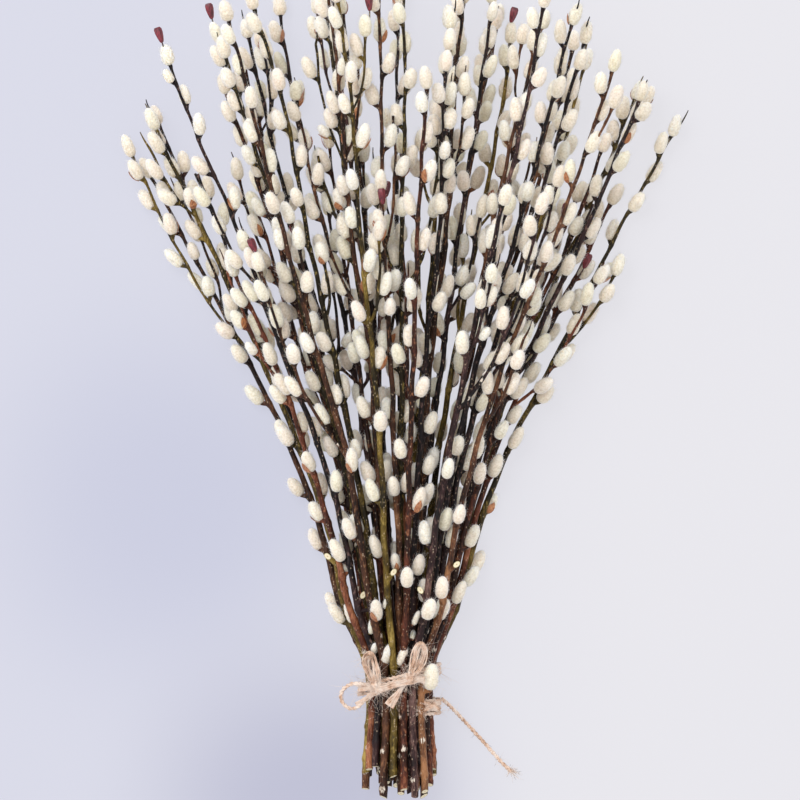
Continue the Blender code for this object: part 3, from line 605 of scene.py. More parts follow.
def opened(piece, points, spread, draw):
    """Twine that has come apart into strands side by side. spread has values from start to end."""
    points = spaced(smoothed(points, CURVE_PARTS), PLY_STEP)
    ways, _, _ = ways_along(points)
    flat = np.cross(ways, (0.0, 0.0, 1.0))
    flat /= np.maximum(np.linalg.norm(flat, axis=1), 1e-6)[:, None]
    reach = reach_of(points)
    spread = np.interp(reach / reach[-1], np.linspace(0.0, 1.0, len(spread)), spread)[:, None]
    for strand in range(OPEN_STRANDS):
        place = 2.0 * strand / (OPEN_STRANDS - 1) - 1.0
        waves = [size * np.sin(reach / wave + draw.uniform(*PHASES))
                 for size, wave in (STRAND_WANDER, STRAND_LIFT)]
        wander, lift = waves[0][:, None], waves[1][:, None] * np.array((0.0, 0.0, 1.0))
        line = points + flat * spread * (place + wander) + lift
        ply(piece, line, OPEN_STRAND_RADIUS * draw.uniform(*STRAND_VARIES), draw.random(), draw)
    return points


def marks_of(tree):
    """The three marks that a piece's vertices carry."""
    marks = add(tree, "Attribute", {"attribute_name": "marks"}).outputs["Vector"]
    return add(tree, "SeparateXYZ", links={0: marks}).outputs


# Jute: dull, coarse plant fibre the colour of pale straw with a pink cast, soft-spun, so its surface
# scatters the light with no gloss. Its tone wanders with the fibres' own uneven colour, and the grooves
# between its fibres, about 0.3 mm apart, are painted as fine dark lines along it: painted shade in the
# grooves, from the same noise that sinks them in the bump.
jute, tree = new_material("natural_jute_twine")
parts = marks_of(tree)
where = add(tree, "TexCoord").outputs["Object"]
mm = add(tree, "VectorMath", {"operation": "SCALE", 3: 1000.0}, {0: where}).outputs[0]
grooves = add(tree, "TexNoise", {"Scale": 1.9, "Detail": 3.0, "Roughness": 0.65},
              {"Vector": mm}).outputs["Fac"]
broad = add(tree, "TexNoise", {"Scale": 0.16, "Detail": 2.0}, {"Vector": mm}).outputs["Fac"]
# Where the groove noise is low the colour darkens: painted shade in the grooves, over the fibres' own tone.
mixed = add(tree, "Math", {"operation": "MULTIPLY_ADD", 1: 0.55}, {0: grooves, 2: broad}).outputs[0]
mixed = add(tree, "Math", {"operation": "MULTIPLY_ADD", 1: 0.18}, {0: parts["Y"], 2: mixed}).outputs[0]
mixed = add(tree, "Math", {"operation": "MULTIPLY_ADD", 1: 0.22}, {0: parts["Z"], 2: mixed}).outputs[0]
colour = add(tree, "ValToRGB", links={0: mixed},
             stops=((0.60, JUTE_DARK), (1.0, JUTE_LIGHT), (0.78, JUTE_MID))).outputs[0]
bump = add(tree, "Bump", {"Strength": 0.6, "Distance": 0.0003}, {"Height": grooves}).outputs[0]
face = add(tree, "BsdfPrincipled", {"Roughness": 0.9, "Specular IOR Level": 0.25, "Sheen Weight": 0.25,
                                    "Sheen Roughness": 0.5}, {"Base Color": colour, "Normal": bump})
add(tree, "OutputMaterial", links={0: face.outputs[0]})

lower = wound(tied[:CORE_STEMS], tied_radii[:CORE_STEMS], LOWER_TURNS, LOWER_BAND_Y, 0.0)
band = Piece()
run = two_ply(band, smoothed(lower, CURVE_PARTS), draws(31))
fray(band, run, *LOWER_FRAY, draws(32))
draw = draws(38)
for route in OVER_LOWER_BAND:
    run = opened(band, laid(route, (), (lower,)), LAID_SPREAD, draw)
    fray(band, run, *LAID_FRAY, draw)
band.make("lower_band", (jute,), "jute_twine", ("twine_lower_band",))

# The upper band: three turns of the same jute twine, wound by hand round all the branches, the front ones
# too. It rises to the right and holds by its own pull.
UPPER_TURNS, UPPER_BAND_Y, UPPER_BAND_TILT = 3, 0.0022, 0.24
UPPER_FRAY = (0.0026, (0.004, 0.013), TWINE_RADIUS)

upper = wound(tied, tied_radii, UPPER_TURNS, UPPER_BAND_Y, UPPER_BAND_TILT)
band = Piece()
run = two_ply(band, smoothed(upper, CURVE_PARTS), draws(33))
fray(band, run, *UPPER_FRAY, draws(34))
band.make("upper_band", (jute,), "jute_twine", ("twine_upper_band",))

# The bow over the upper band: two knots with a run between them, two loops pressed flat whose twine has
# opened into its strands, a round loop that stands out at the left, and a short end that has frayed wide.
KNOT_HALF = (0.0052, 0.0048, 0.0031)
KNOT_PLACES = ((-0.0177, 0.0028), (0.0075, 0.0095))
KNOT_OVER = (-0.003, 0.0, 0.003)
FRAYED_RADIUS, FRAYED_LAYERS = 0.0032, 2
KNOT_TURNS = ((0.5, -0.0016), (0.15, 0.0000), (-0.35, 0.0017), (1.25, 0.0002), (0.9, -0.0004))
KNOT_TURN_HALF, KNOT_TURN_RADIUS = (0.0037, 0.0017), 0.0014
OVER_BAND = (
    (
        (-33.0, -11.6, 38), (-28.0, -9.0, 41), (-22.5, -4.8, 43), (-15.0, -0.4, 0), (-6.0, 2.6, 0),
        (3.0, 5.4, 0), (13.0, 7.2, 0), (23.0, 9.4, 0),
    ),
    (
        (-31.0, 0.4, 42), (-23.0, 1.0, 44), (-15.0, 1.0, 0), (-6.0, 4.2, 0), (3.0, 7.4, 0), (12.0, 8.8, 0),
        (22.0, 4.6, 0),
    ),
)
RUN_FRAY, LOOP_FRAY = (0.0018, (0.003, 0.009), TWINE_RADIUS), (0.0005, (0.004, 0.011), OPEN_SPREAD)
OVER_SPREAD, OVER_FRAY = (0.6 * OPEN_SPREAD,), (0.0008, (0.004, 0.012), TWINE_RADIUS)
END_SPREAD, END_FRAY = (0.0008, 0.0012, 0.0030), (0.0005, (0.003, 0.008), 0.0016)
KNOT_FRAY, KNOT_RING_POINTS = (0.0008, (0.003, 0.009), TWINE_RADIUS), 25
BOW_RUNS = {
    "between_knots": ((-17.0, 3.4, 0), (-9.5, 4.6, 0), (-2.0, 7.2, 0), (6.5, 9.3, 0)),
    "left_loop": (
        (-17.2, 4.0, 0), (-17.4, 11.0, 0), (-18.6, 18.0, 0), (-20.2, 24.0, 0), (-22.8, 26.8, 0),
        (-25.4, 23.6, 0), (-25.2, 17.4, 0), (-22.4, 10.0, 0), (-18.4, 3.4, 0),
    ),
    "right_loop": (
        (7.4, 10.4, 0), (9.2, 17.0, 0), (10.8, 25.0, 0), (12.8, 31.8, 0), (15.6, 34.4, 0),
        (18.2, 30.8, 0), (17.6, 24.0, 0), (14.2, 16.6, 0), (8.8, 9.8, 0),
    ),
    "ring_loop": (
        (-18.2, 3.2, 0), (-24.0, 3.2, 0), (-30.0, 4.4, 46), (-36.5, 4.2, 43), (-42.4, 0.4, 40),
        (-44.6, -5.6, 38), (-42.2, -11.4, 37), (-36.6, -14.6, 37), (-31.0, -12.6, 39), (-26.5, -7.6, 42),
        (-22.0, -2.6, 0), (-18.6, 1.6, 0),
    ),
    "short_end": ((7.0, 8.8, 0), (3.0, 4.2, 0), (-1.0, -1.6, 0), (-5.0, -7.2, 0), (-8.4, -12.0, 0)),
}

bow = Piece()
draw = draws(35)
bow_lines = {name: laid(route, limbs, (upper,)) for name, route in BOW_RUNS.items()}
for name in ("between_knots", "ring_loop"):
    run = two_ply(bow, smoothed(bow_lines[name], CURVE_PARTS), draw)
    fray(bow, run, *RUN_FRAY, draw)
for name in ("left_loop", "right_loop"):
    run = opened(bow, bow_lines[name], (OPEN_SPREAD,), draw)
    fray(bow, run, *LOOP_FRAY, draw)
for route in OVER_BAND:
    line = laid(route, limbs, (upper, bow_lines["between_knots"]))
    run = opened(bow, line, OVER_SPREAD, draw)
    fray(bow, run, *OVER_FRAY, draw)
short_end = bow_lines["short_end"].copy()
width = np.linspace(TWINE_RADIUS, FRAYED_RADIUS, len(short_end))
short_end[:, 2] += width - TWINE_RADIUS
for _ in range(FRAYED_LAYERS):
    run = opened(bow, short_end, END_SPREAD, draw)
fray(bow, run, *END_FRAY, draw)
for x, y in KNOT_PLACES:
    nearby = [(x + dx, y + dy) for dx in KNOT_OVER for dy in KNOT_OVER]
    height = max(rest_height(*place, limbs, (upper,)) for place in nearby)
    knot = np.array((x, y, height - TWINE_RADIUS + KNOT_HALF[2]))
    for lean, shift in KNOT_TURNS:
        angles = np.linspace(0.0, FULL_TURN, KNOT_RING_POINTS)
        along = np.array((math.cos(lean), math.sin(lean), 0.0))
        over = np.array((-math.sin(lean), math.cos(lean), 0.0))
        ring = knot + along * shift + np.outer(np.cos(angles), over) * KNOT_TURN_HALF[0]
        ring[:, 2] += np.sin(angles) * KNOT_TURN_HALF[1]
        run = two_ply(bow, ring, draw, KNOT_TURN_RADIUS)
        fray(bow, run, *KNOT_FRAY, draw)
bow.make("bow", (jute,), "jute_twine", ("twine_bow",))

# The long free end of the twine: it leaves the lower band at the right, drops to the surface and lies
# straight along it. The last millimetres have come untwisted into a tuft.
TAIL_ROUTE = (
    (31.6, -8.0, 28.0), (33.2, -9.3, 24.0), (35.4, -11.4, 19.6), (38.2, -14.2, 15.2), (41.6, -17.8, 11.2),
    (45.4, -21.9, 7.8), (49.4, -26.3, 5.0), (53.4, -30.7, 3.0), (57.4, -35.1, 2.0), (61.4, -39.4, 1.7),
    (65.3, -43.8, 1.6), (69.2, -48.2, 1.6), (73.1, -52.6, 1.6), (77.0, -56.9, 1.6), (80.8, -60.7, 1.6),
    (84.4, -63.8, 1.6),
)
TAIL_STEP, TAIL_FRAY = 0.001, (0.0028, (0.002, 0.007), TWINE_RADIUS)
TUFT_FIBRES, TUFT_OPENS, TUFT_RADIUS, TUFT_FIBRE_WIDTH = 70, 0.006, 0.0010, 0.00016
TUFT_LENGTHS, TUFT_FLATNESS = (0.004, 0.008), (1.0, 1.0, 0.5)

tail_line = spaced(smoothed(np.array(TAIL_ROUTE) * 0.001, 8), TAIL_STEP)
tail_length = float(reach_of(tail_line)[-1])
tail = Piece()
two_ply(tail, tail_line, draws(36))
tail_piece = tail.make("tail", (jute,), "jute_twine", ("twine_tail",))
tuft, draw = Piece(), draws(37)
fray(tuft, tail_line, *TAIL_FRAY, draw)
end, way = tail_line[-1], unit(tail_line[-1] - tail_line[-4])
for _ in range(TUFT_FIBRES):
    out = unit(draw.normal(0.0, 1.0, 3) * TUFT_FLATNESS)
    start = end - way * draw.uniform(0.0, TUFT_OPENS) + out * TUFT_RADIUS
    fibre(tuft, start, way, out * 0.5, draw.uniform(*TUFT_LENGTHS), draw.random(), draw, TUFT_FIBRE_WIDTH)
tuft_piece = tuft.make("tail_tuft", (jute,), "jute_twine")

# Where the side shoots and catkins grow. Catkins stand one after another round their stem, each where it has
# room. Those of the CAD model come first and stay in their places; the places between them are filled here.
# Nine more small ones are pressed into the valleys between the stems just above the tie.
SHOOT_EVERY, SHOOT_OFFSET, SHOOT_BEND = 3, 0.030, 3.2
SHOOT_OFFSET_VARIES, SHOOT_TURNS, SHOOT_WAYS = (0.75, 1.25), 0.7, 12
SHOOT_STARTS, SHOOT_LENGTHS = (0.10, 0.31), (0.10, 0.19)
SHOOT_SHARES, SHOOT_THICKNESS = (0.0, 0.22, 0.55, 1.0), 0.55
HIGHEST_SHOOT, SHOOT_LEVEL, SHOOT_ROOM = 0.62, 0.006, 0.0045
STUB_LEVELS = {35: 0.092, 36: 0.070, 38: 0.083, 40: 0.066, 42: 0.098, 44: 0.088}
STUB_LENGTH, STUB_RADIUS, STUB_WAYS = 0.0088, 0.0020, 8
STUB_WAY, STUB_LEAN, STUB_FACES_UP = -70.0, 0.9, 0.3
BAND_CATKIN_LEVEL = -0.0010
BAND_CATKIN_STEM, BAND_CATKIN_WAY = CORE_STEMS, 46.0
BAND_CATKIN_LENGTH, BAND_CATKIN_RADIUS, BAND_CATKIN_FULLER = 0.0200, 0.0055, 1.12
BAND_CATKIN_ABOVE_ROOT, BAND_CATKIN_STEP = 0.0005, 0.0005
CATKIN_LENGTH, CATKIN_RADIUS = (0.0150, 0.0185), (0.0046, 0.0055)
CATKIN_LOW, CATKIN_TOP_ROUND, CATKIN_GAP, NECK_SHARE = 0.24, 0.85, 0.0005, 0.55
CATKIN_WAYS, TIP_CATKIN_WAYS, CLEAR_OF_SURFACE = 10, 8, 1.1
TURN_FROM_LAST, TURN_VARIES, LEAN = 137.5, 0.4, (0.06, 0.22)
FOOT_ABOVE_ROOT, FOOT_OFF_STEM, FOOT_OUT = 0.0022, 0.0008, 0.92
FOOT_DRAWN_IN, FURTHEST_DRAWN_IN = 0.45, 0.003
SMALLER_TRIES = (1.0, 0.86, 0.74)
TIP_SUNK, ASKEW = 0.0035, (0.3, 0.1, 1.0)
SPACING_AT_TIP, SPACING_GROWTH, SPACING_VARIES = 0.0198, 0.094, (0.85, 1.15)
HIGHEST_BELOW_TIP = (0.001, 0.006)
LOWEST_CATKIN, LOWEST_ON_SHOOT = 0.030, 0.012
TWIG_STARTS, TWIG_LENGTHS, TWIG_OFFSET = (0.20, 0.46), (0.045, 0.105), (0.011, 0.020)
TWIGS_EACH, TWIG_THICKNESS, TWIG_ROOM = 3, 0.62, 0.0012
SHOOT_OWNERS, TWIG_OWNERS, CATKIN_OWNERS, STUB_OWNER = 100, 4000, 1000, 2000
PRESSED_CATKINS = (
    (-11.3, 18.0, -7.2, 34.4, 4.3, 40), (1.0, 18.2, 4.6, 33.6, 3.6, 38), (-19.5, 26.0, -18.6, 35.0, 2.8, 42),
    (-20.3, 42.0, -21.6, 53.4, 2.5, 42), (12.8, 48.8, 14.6, 59.6, 2.5, 37),
    (-37.0, 50.0, -41.6, 64.0, 2.5, 44), (25.2, 53.0, 30.2, 69.0, 2.5, 35),
    (11.2, 38.0, 10.2, 44.5, 2.2, 37), (-8.6, 61.0, -8.0, 73.0, 2.5, 40),
)
PRESSED_UNITS, PRESSED_DEPTH = (0.001, 0.001, 0.001, 0.001, 0.001, 1.0), 0.75


def way_at(angle):
    """A direction across the branches, at this angle from the right."""
    return np.array((math.cos(angle), 0.0, math.sin(angle)))


def side_ways(direction, first, count):
    """Directions square to a stem, evenly spaced round it, the nearest to the first before the others."""
    flat = unit(np.cross(direction, (0.0, 0.0, 1.0)))
    high = np.cross(flat, direction)
    for number in range(count):
        angle = first + (-1) ** number * FULL_TURN * ((number + 1) // 2) / count
        yield math.cos(angle) * flat + math.sin(angle) * high


def bent_out(foot, direction, sideways, length, offset, base, owner):
    """A run of wood that leaves its stem sideways and bends up beside it."""
    points = [
        foot + direction * length * share + sideways * offset * (1.0 - math.exp(-SHOOT_BEND * share))
        for share in SHOOT_SHARES
    ]
    return Limb(points, [base + (TIP_RADIUS[0] - base) * share for share in SHOOT_SHARES], owner)


def has_room(limb, taken, spared, least):
    """Whether a run of wood is clear of the surface and of everything taken but what is spared."""
    room = min(taken.room(a, b, r, spared) for a, b, r in zip(limb.points[:-1], limb.points[1:], limb.radii))
    return min(p[2] for p in limb.points) > SHOOT_LEVEL and room > least


def shoot_from(limb, number, taken):
    """A side shoot that leaves its stem at a node and bends up beside it, or None where there is no room."""
    draw = draws(4, number)
    start, length = draw.uniform(*SHOOT_STARTS), draw.uniform(*SHOOT_LENGTHS)
    foot, direction, radius = limb.at(min(start + LONGEST_CUT, HIGHEST_SHOOT * limb.reach[-1]))
    outward = math.pi if foot[0] < 0.0 else 0.0
    offset = SHOOT_OFFSET * draw.uniform(*SHOOT_OFFSET_VARIES)
    base = SHOOT_THICKNESS * radius
    for sideways in side_ways(direction, outward + draw.uniform(-SHOOT_TURNS, SHOOT_TURNS), SHOOT_WAYS):
        shoot = bent_out(foot, direction, sideways, length, offset, base, SHOOT_OWNERS + number)
        if has_room(shoot, taken, (number,), SHOOT_ROOM):
            return shoot
    return None


def twig_from(limb, number, taken):
    """A short, thin twig high on a stem, leaving it at a narrow angle, or None where there is no room."""
    draw = draws(7, number)
    length, offset = draw.uniform(*TWIG_LENGTHS), draw.uniform(*TWIG_OFFSET)
    level = draw.uniform(*TWIG_STARTS) + LONGEST_CUT
    if level > limb.reach[-1] - length:
        return None
    foot, direction, radius = limb.at(level)
    base = TWIG_THICKNESS * radius
    for sideways in side_ways(direction, draw.uniform(0.0, FULL_TURN), SHOOT_WAYS):
        twig = bent_out(foot, direction, sideways, length, offset, base, TWIG_OWNERS + number)
        if has_room(twig, taken, (limb.owner, CATKIN_OWNERS + limb.owner), TWIG_ROOM):
            return twig
    return None


def catkin_levels(limb, number, lowest):
    """Lengths along a limb at which catkins grow, from the tip down: close near the tip, wider below."""
    draw = draws(5, number)
    at = limb.reach[-1] - draw.uniform(*HIGHEST_BELOW_TIP)
    levels = []
    while at > lowest:
        levels.append(at)
        below_tip = limb.reach[-1] - at
        at -= (SPACING_AT_TIP + SPACING_GROWTH * below_tip) * draw.uniform(*SPACING_VARIES)
    return levels


class Catkin:
    """One catkin: where it grows from its stem, its foot, the way it points, its size and its level."""

    def __init__(self, root, foot, axis, length, radius, level, sideways):
        self.root, self.foot, self.axis = root, foot, axis
        self.length, self.radius = length, radius
        self.level, self.sideways = level, sideways

    def sides(self):
        """Two directions square to it and to each other."""
        right = unit(np.cross(self.axis, ASKEW))
        return right, np.cross(self.axis, right)

    def core(self):
        """The two ends of the round-ended rod that its body fills."""
        low = self.foot + self.axis * CATKIN_LOW * self.length
        return low, self.foot + self.axis * (self.length - CATKIN_TOP_ROUND * self.radius)

    def fits(self, taken, owner):
        """Whether it is clear of the surface and of everything but its own stem."""
        low, high = self.core()
        if min(low[2], high[2]) < CLEAR_OF_SURFACE * self.radius:
            return False
        body = taken.room(low, high, self.radius, (owner,))
        neck = taken.room(self.root, low, NECK_SHARE * self.radius, (owner,))
        return min(body, neck) > CATKIN_GAP

    def take(self, taken, owner):
        taken.add(*self.core(), self.radius, owner)


def tip_catkin(limb, key, taken, owner):
    """The catkin that ends a limb, in line with it, or None where there is no room."""
    draw = draws(6, *key)
    level = limb.reach[-1] - TIP_SUNK
    root, direction, _ = limb.at(level)
    length, width = draw.uniform(*CATKIN_LENGTH), draw.uniform(*CATKIN_RADIUS)
    for sideways in side_ways(direction, draw.uniform(0.0, FULL_TURN), TIP_CATKIN_WAYS):
        axis = unit(direction + draw.uniform(*LEAN) * sideways)
        made = Catkin(root, root, axis, length, width, level, sideways)
        if made.fits(taken, owner):
            return made
    return None


def catkin_on(limb, level, key, taken, owner):
    """A catkin at this level of a limb, turned or made smaller until it has room, or None."""
    draw = draws(6, *key)
    root, direction, radius = limb.at(level)
    turn = key[1] * math.radians(TURN_FROM_LAST) + draw.uniform(-TURN_VARIES, TURN_VARIES)
    length, width = draw.uniform(*CATKIN_LENGTH), draw.uniform(*CATKIN_RADIUS)
    lean = draw.uniform(*LEAN)
    for scale in SMALLER_TRIES:
        for sideways in side_ways(direction, turn, CATKIN_WAYS):
            size = scale * width
            foot = root + sideways * (radius + size * FOOT_OUT + FOOT_OFF_STEM) + direction * FOOT_ABOVE_ROOT
            made = Catkin(root, foot, unit(direction + lean * sideways), scale * length, size, level,
                          sideways)
            if made.fits(taken, owner):
                return made
    return None


def grown_on(limb, lowest, taken, first, every=2):
    """The catkins of one run of wood, at every place or at every second one, from place 0 or from place 1."""
    made = []
    for index, level in enumerate(catkin_levels(limb, limb.owner, lowest)):
        if index % every == first:
            key = (limb.owner, index)
            if index:
                catkin = catkin_on(limb, level, key, taken, limb.owner)
            else:
                catkin = tip_catkin(limb, key, taken, limb.owner)
            if catkin:
                catkin.take(taken, CATKIN_OWNERS + limb.owner)
                made.append(catkin)
    return made


for run in (lower, upper, np.array(TAIL_ROUTE) * 0.001, *bow_lines.values()):
    taken.add(run[:-1], run[1:], np.full(len(run) - 1, BOW_RUN_RADIUS), TWINE_OWNER)

level = BAND_CATKIN_LEVEL - limbs[BAND_CATKIN_STEM].points[0][1]
root, direction, _ = limbs[BAND_CATKIN_STEM].at(level)
sideways = way_at(math.radians(BAND_CATKIN_WAY))
foot = root + direction * BAND_CATKIN_ABOVE_ROOT
band_catkin = Catkin(root, foot, direction, BAND_CATKIN_LENGTH, BAND_CATKIN_RADIUS, level, sideways)
while taken.room(*band_catkin.core(), band_catkin.radius, ()) < CATKIN_GAP:
    band_catkin.foot = band_catkin.foot + sideways * BAND_CATKIN_STEP
band_catkin.take(taken, CATKIN_OWNERS + BAND_CATKIN_STEM)

wood_runs = {limb.owner: [(limb, LOWEST_CATKIN + LONGEST_CUT)] for limb in limbs}
for number in range(0, len(limbs), SHOOT_EVERY):
    shoot = shoot_from(limbs[number], number, taken)
    if shoot:
        wood_runs[number].append((shoot, LOWEST_ON_SHOOT))
        taken.add(shoot.points[:-1], shoot.points[1:], shoot.radii[:-1], shoot.owner)
catkins = {number: [] for number in wood_runs}
stubs = {number: [] for number in wood_runs}
for number, runs in wood_runs.items():
    for limb, lowest in runs:
        catkins[number].append(grown_on(limb, lowest, taken, 0))
    if number in STUB_LEVELS:
        limb = limbs[number]
        root, direction, _ = limb.at(STUB_LEVELS[number] - limb.points[0][1])
        for sideways in side_ways(direction, math.radians(STUB_WAY), STUB_WAYS):
            tip = root + STUB_LENGTH * unit(direction + STUB_LEAN * sideways)
            if sideways[2] > STUB_FACES_UP and taken.room(root, tip, STUB_RADIUS, (number,)) > CATKIN_GAP:
                taken.add(root, tip, STUB_RADIUS, STUB_OWNER)
                stubs[number].append((root, tip))
                break
for number, runs in wood_runs.items():
    for own, (limb, lowest) in zip(catkins[number], runs):
        own += grown_on(limb, lowest, taken, 1)
for number, runs in wood_runs.items():
    for place in range(TWIGS_EACH):
        twig = twig_from(runs[place % len(runs)][0], TWIGS_EACH * number + place, taken)
        if twig:
            taken.add(twig.points[:-1], twig.points[1:], twig.radii[:-1], twig.owner)
            runs.append((twig, LOWEST_ON_SHOOT))
            catkins[number].append(grown_on(twig, LOWEST_ON_SHOOT, taken, 0, 1))


def settle(catkin, limb):
    """Moves a catkin with the smooth line of its stem, and draws its foot in to the bark."""
    catkin.shift = limb.grown(catkin.level)[0] - limb.at(catkin.level)[0]
    tip = catkin.foot + catkin.axis * catkin.length + catkin.shift
    catkin.root = catkin.root + catkin.shift
    off_stem = (catkin.foot - catkin.root + catkin.shift) @ catkin.sideways
    draw_in = min(FURTHEST_DRAWN_IN, FOOT_DRAWN_IN * max(0.0, off_stem - limb.at(catkin.level)[2]))
    catkin.foot = catkin.foot + catkin.shift - catkin.sideways * draw_in
    catkin.length = float(np.linalg.norm(tip - catkin.foot))
    catkin.axis = unit(tip - catkin.foot)


for x, y, top_x, top_y, radius, owner in np.array(PRESSED_CATKINS) * PRESSED_UNITS:
    ends = []
    for at in ((x, y), (top_x, top_y)):
        valley = rest_height(*at, limbs, ()) - TWINE_RADIUS - TWINE_GAP
        ends.append(np.array((*at, valley - PRESSED_DEPTH * radius)))
    stem = limbs[int(owner)]
    level = float(np.interp(y, stem.points[:, 1], stem.reach))
    axis, sideways = unit(ends[1] - ends[0]), unit((ends[0] - stem.at(level)[0]) * (1.0, 0.0, 1.0))
    length = float(np.linalg.norm(ends[1] - ends[0]))
    pressed = Catkin(stem.at(level)[0], ends[0], axis, length, radius, level, sideways)
    catkins[int(owner)][0].append(pressed)
band_catkin.radius *= BAND_CATKIN_FULLER
catkins[BAND_CATKIN_STEM][0].append(band_catkin)
for number, runs in wood_runs.items():
    for own, (limb, _) in zip(catkins[number], runs):
        for catkin in own:
            settle(catkin, limb)

# The wood: one-year shoots of pussy willow under thin, waxy bark. Each swells below its catkins and at the
# old leaf scars, tapers to the tip, and was cut slanting with secateurs, which shows the pale wood at the
# lower end.
RING_STEP, WOOD_SIDES, EDGES_FROM = 0.0042, 9, 50.0
SWELLING, SWELLING_LENGTH, SWELLING_BELOW, CUSHION = 0.24, 0.0024, 0.0008, 0.00075
SWELLING_RINGS, RINGS_APART, LAST_RING = (-0.0036, -0.0016, 0.0, 0.0014), 0.0007, 0.0004
FIRST_SCAR, SCARS_BELOW, OLD_SCAR_SIZE = (0.004, 0.02), 0.008, 0.75
SCAR_SPACING, SCARS_PALE = (0.017, 0.030), 0.55
CUT_SLANT, CUT_SLANT_VARIES, CUT_FACES_UP, CUT_LIFT = 0.62, (0.3, 1.2), 1.6, 0.4
CUT_RINGS = (1.0, 0.86, 0.55, 0.16)
STUB_SLANT = 1.3
BARK_RELIEF = 0.018
CUP_SIDES, CUP_RADIUS, CUP_SHARE = 7, 0.56, 0.17
CUP_STARTS, CUP_LOW, CUP_BELLY, CUP_THIN = 0.0022, 0.0004, (0.6, 0.38), (0.55, 0.0003)
BARE_TIPS_EVERY, BARE_TIP_LENGTH, BARE_TIP_LEAN, BARE_TIP_END = 2, (0.013, 0.022), 0.30, 0.00035
BUD_EVERY, BUD_LENGTH, BUD_RADIUS, BUD_RIBS, BUD_GROOVES = 10, 0.0118, 0.0033, 5, 0.82
BUD_RINGS = ((0.0, 0.34), (0.10, 0.55), (0.35, 0.80), (0.65, 1.0), (0.88, 0.98), (1.0, 0.70))
SCALE_EVERY, SCALE_LENGTH, SCALE_HALF_WIDTH, SCALE_THICK = 9, (0.40, 0.62), (0.45, 0.80), 0.00022
SCALE_STARTS, SCALE_ROWS, SCALE_POINT, SCALE_NARROWEST = -0.04, 6, 2.2, 0.03
SCALE_FITS = ((-0.04, 0.06, 0.17, 0.32, 0.50, 1.0), (0.45, 0.78, 0.98, 1.10, 1.16, 1.3))
STUB_WIDTHS = (1.25, 1.05, 1.0, 1.05)
BARKS = (
    ("dark_purple_bark", "#0f0809", "#35201f", "#8a6a60"),
    ("red_brown_bark", "#220e07", "#5f3020", "#b07350"),
    ("olive_bark", "#1f1807", "#5f4c1b", "#b09650"),
    ("brown_bark", "#1c0e08", "#50301f", "#a1714c"),
)
LENTICEL, SCAR = "#c4ad92", "#ddd0be"
STREAKS, PATCHES, FLAKES = (800.0, 190.0, 800.0), (60.0, 35.0, 60.0), (520.0, 210.0, 520.0)
PORES, VEINS = (760.0, 520.0, 760.0), (900.0, 260.0, 900.0)
DARKENS, DARKENS_BY, TONES = (0.03, 0.20), -0.19, (0.82, 1.36)
FLAKE_EDGE, FLAKES_SHOW, PORES_LEFT_OUT, PORE_EDGE = (0.56, 0.70), 0.55, 0.84, (0.22, 0.42)
SCAR_EDGE, SCAR_REACH = (1.62, 1.82), (0.10, 0.30)
CUT_WOOD, CUT_PITH, CUT_EDGE = "#e9dcbb", "#c4a878", "#7f7a3c"


def pattern(tree, kind, where, repeats, settings):
    """A texture over a piece, with so many repeats to the metre across, along and up the branches."""
    at = add(tree, "Mapping", {"Scale": repeats}, {0: where}).outputs[0]
    return add(tree, kind, {"Scale": 1.0, **settings}, {"Vector": at}).outputs


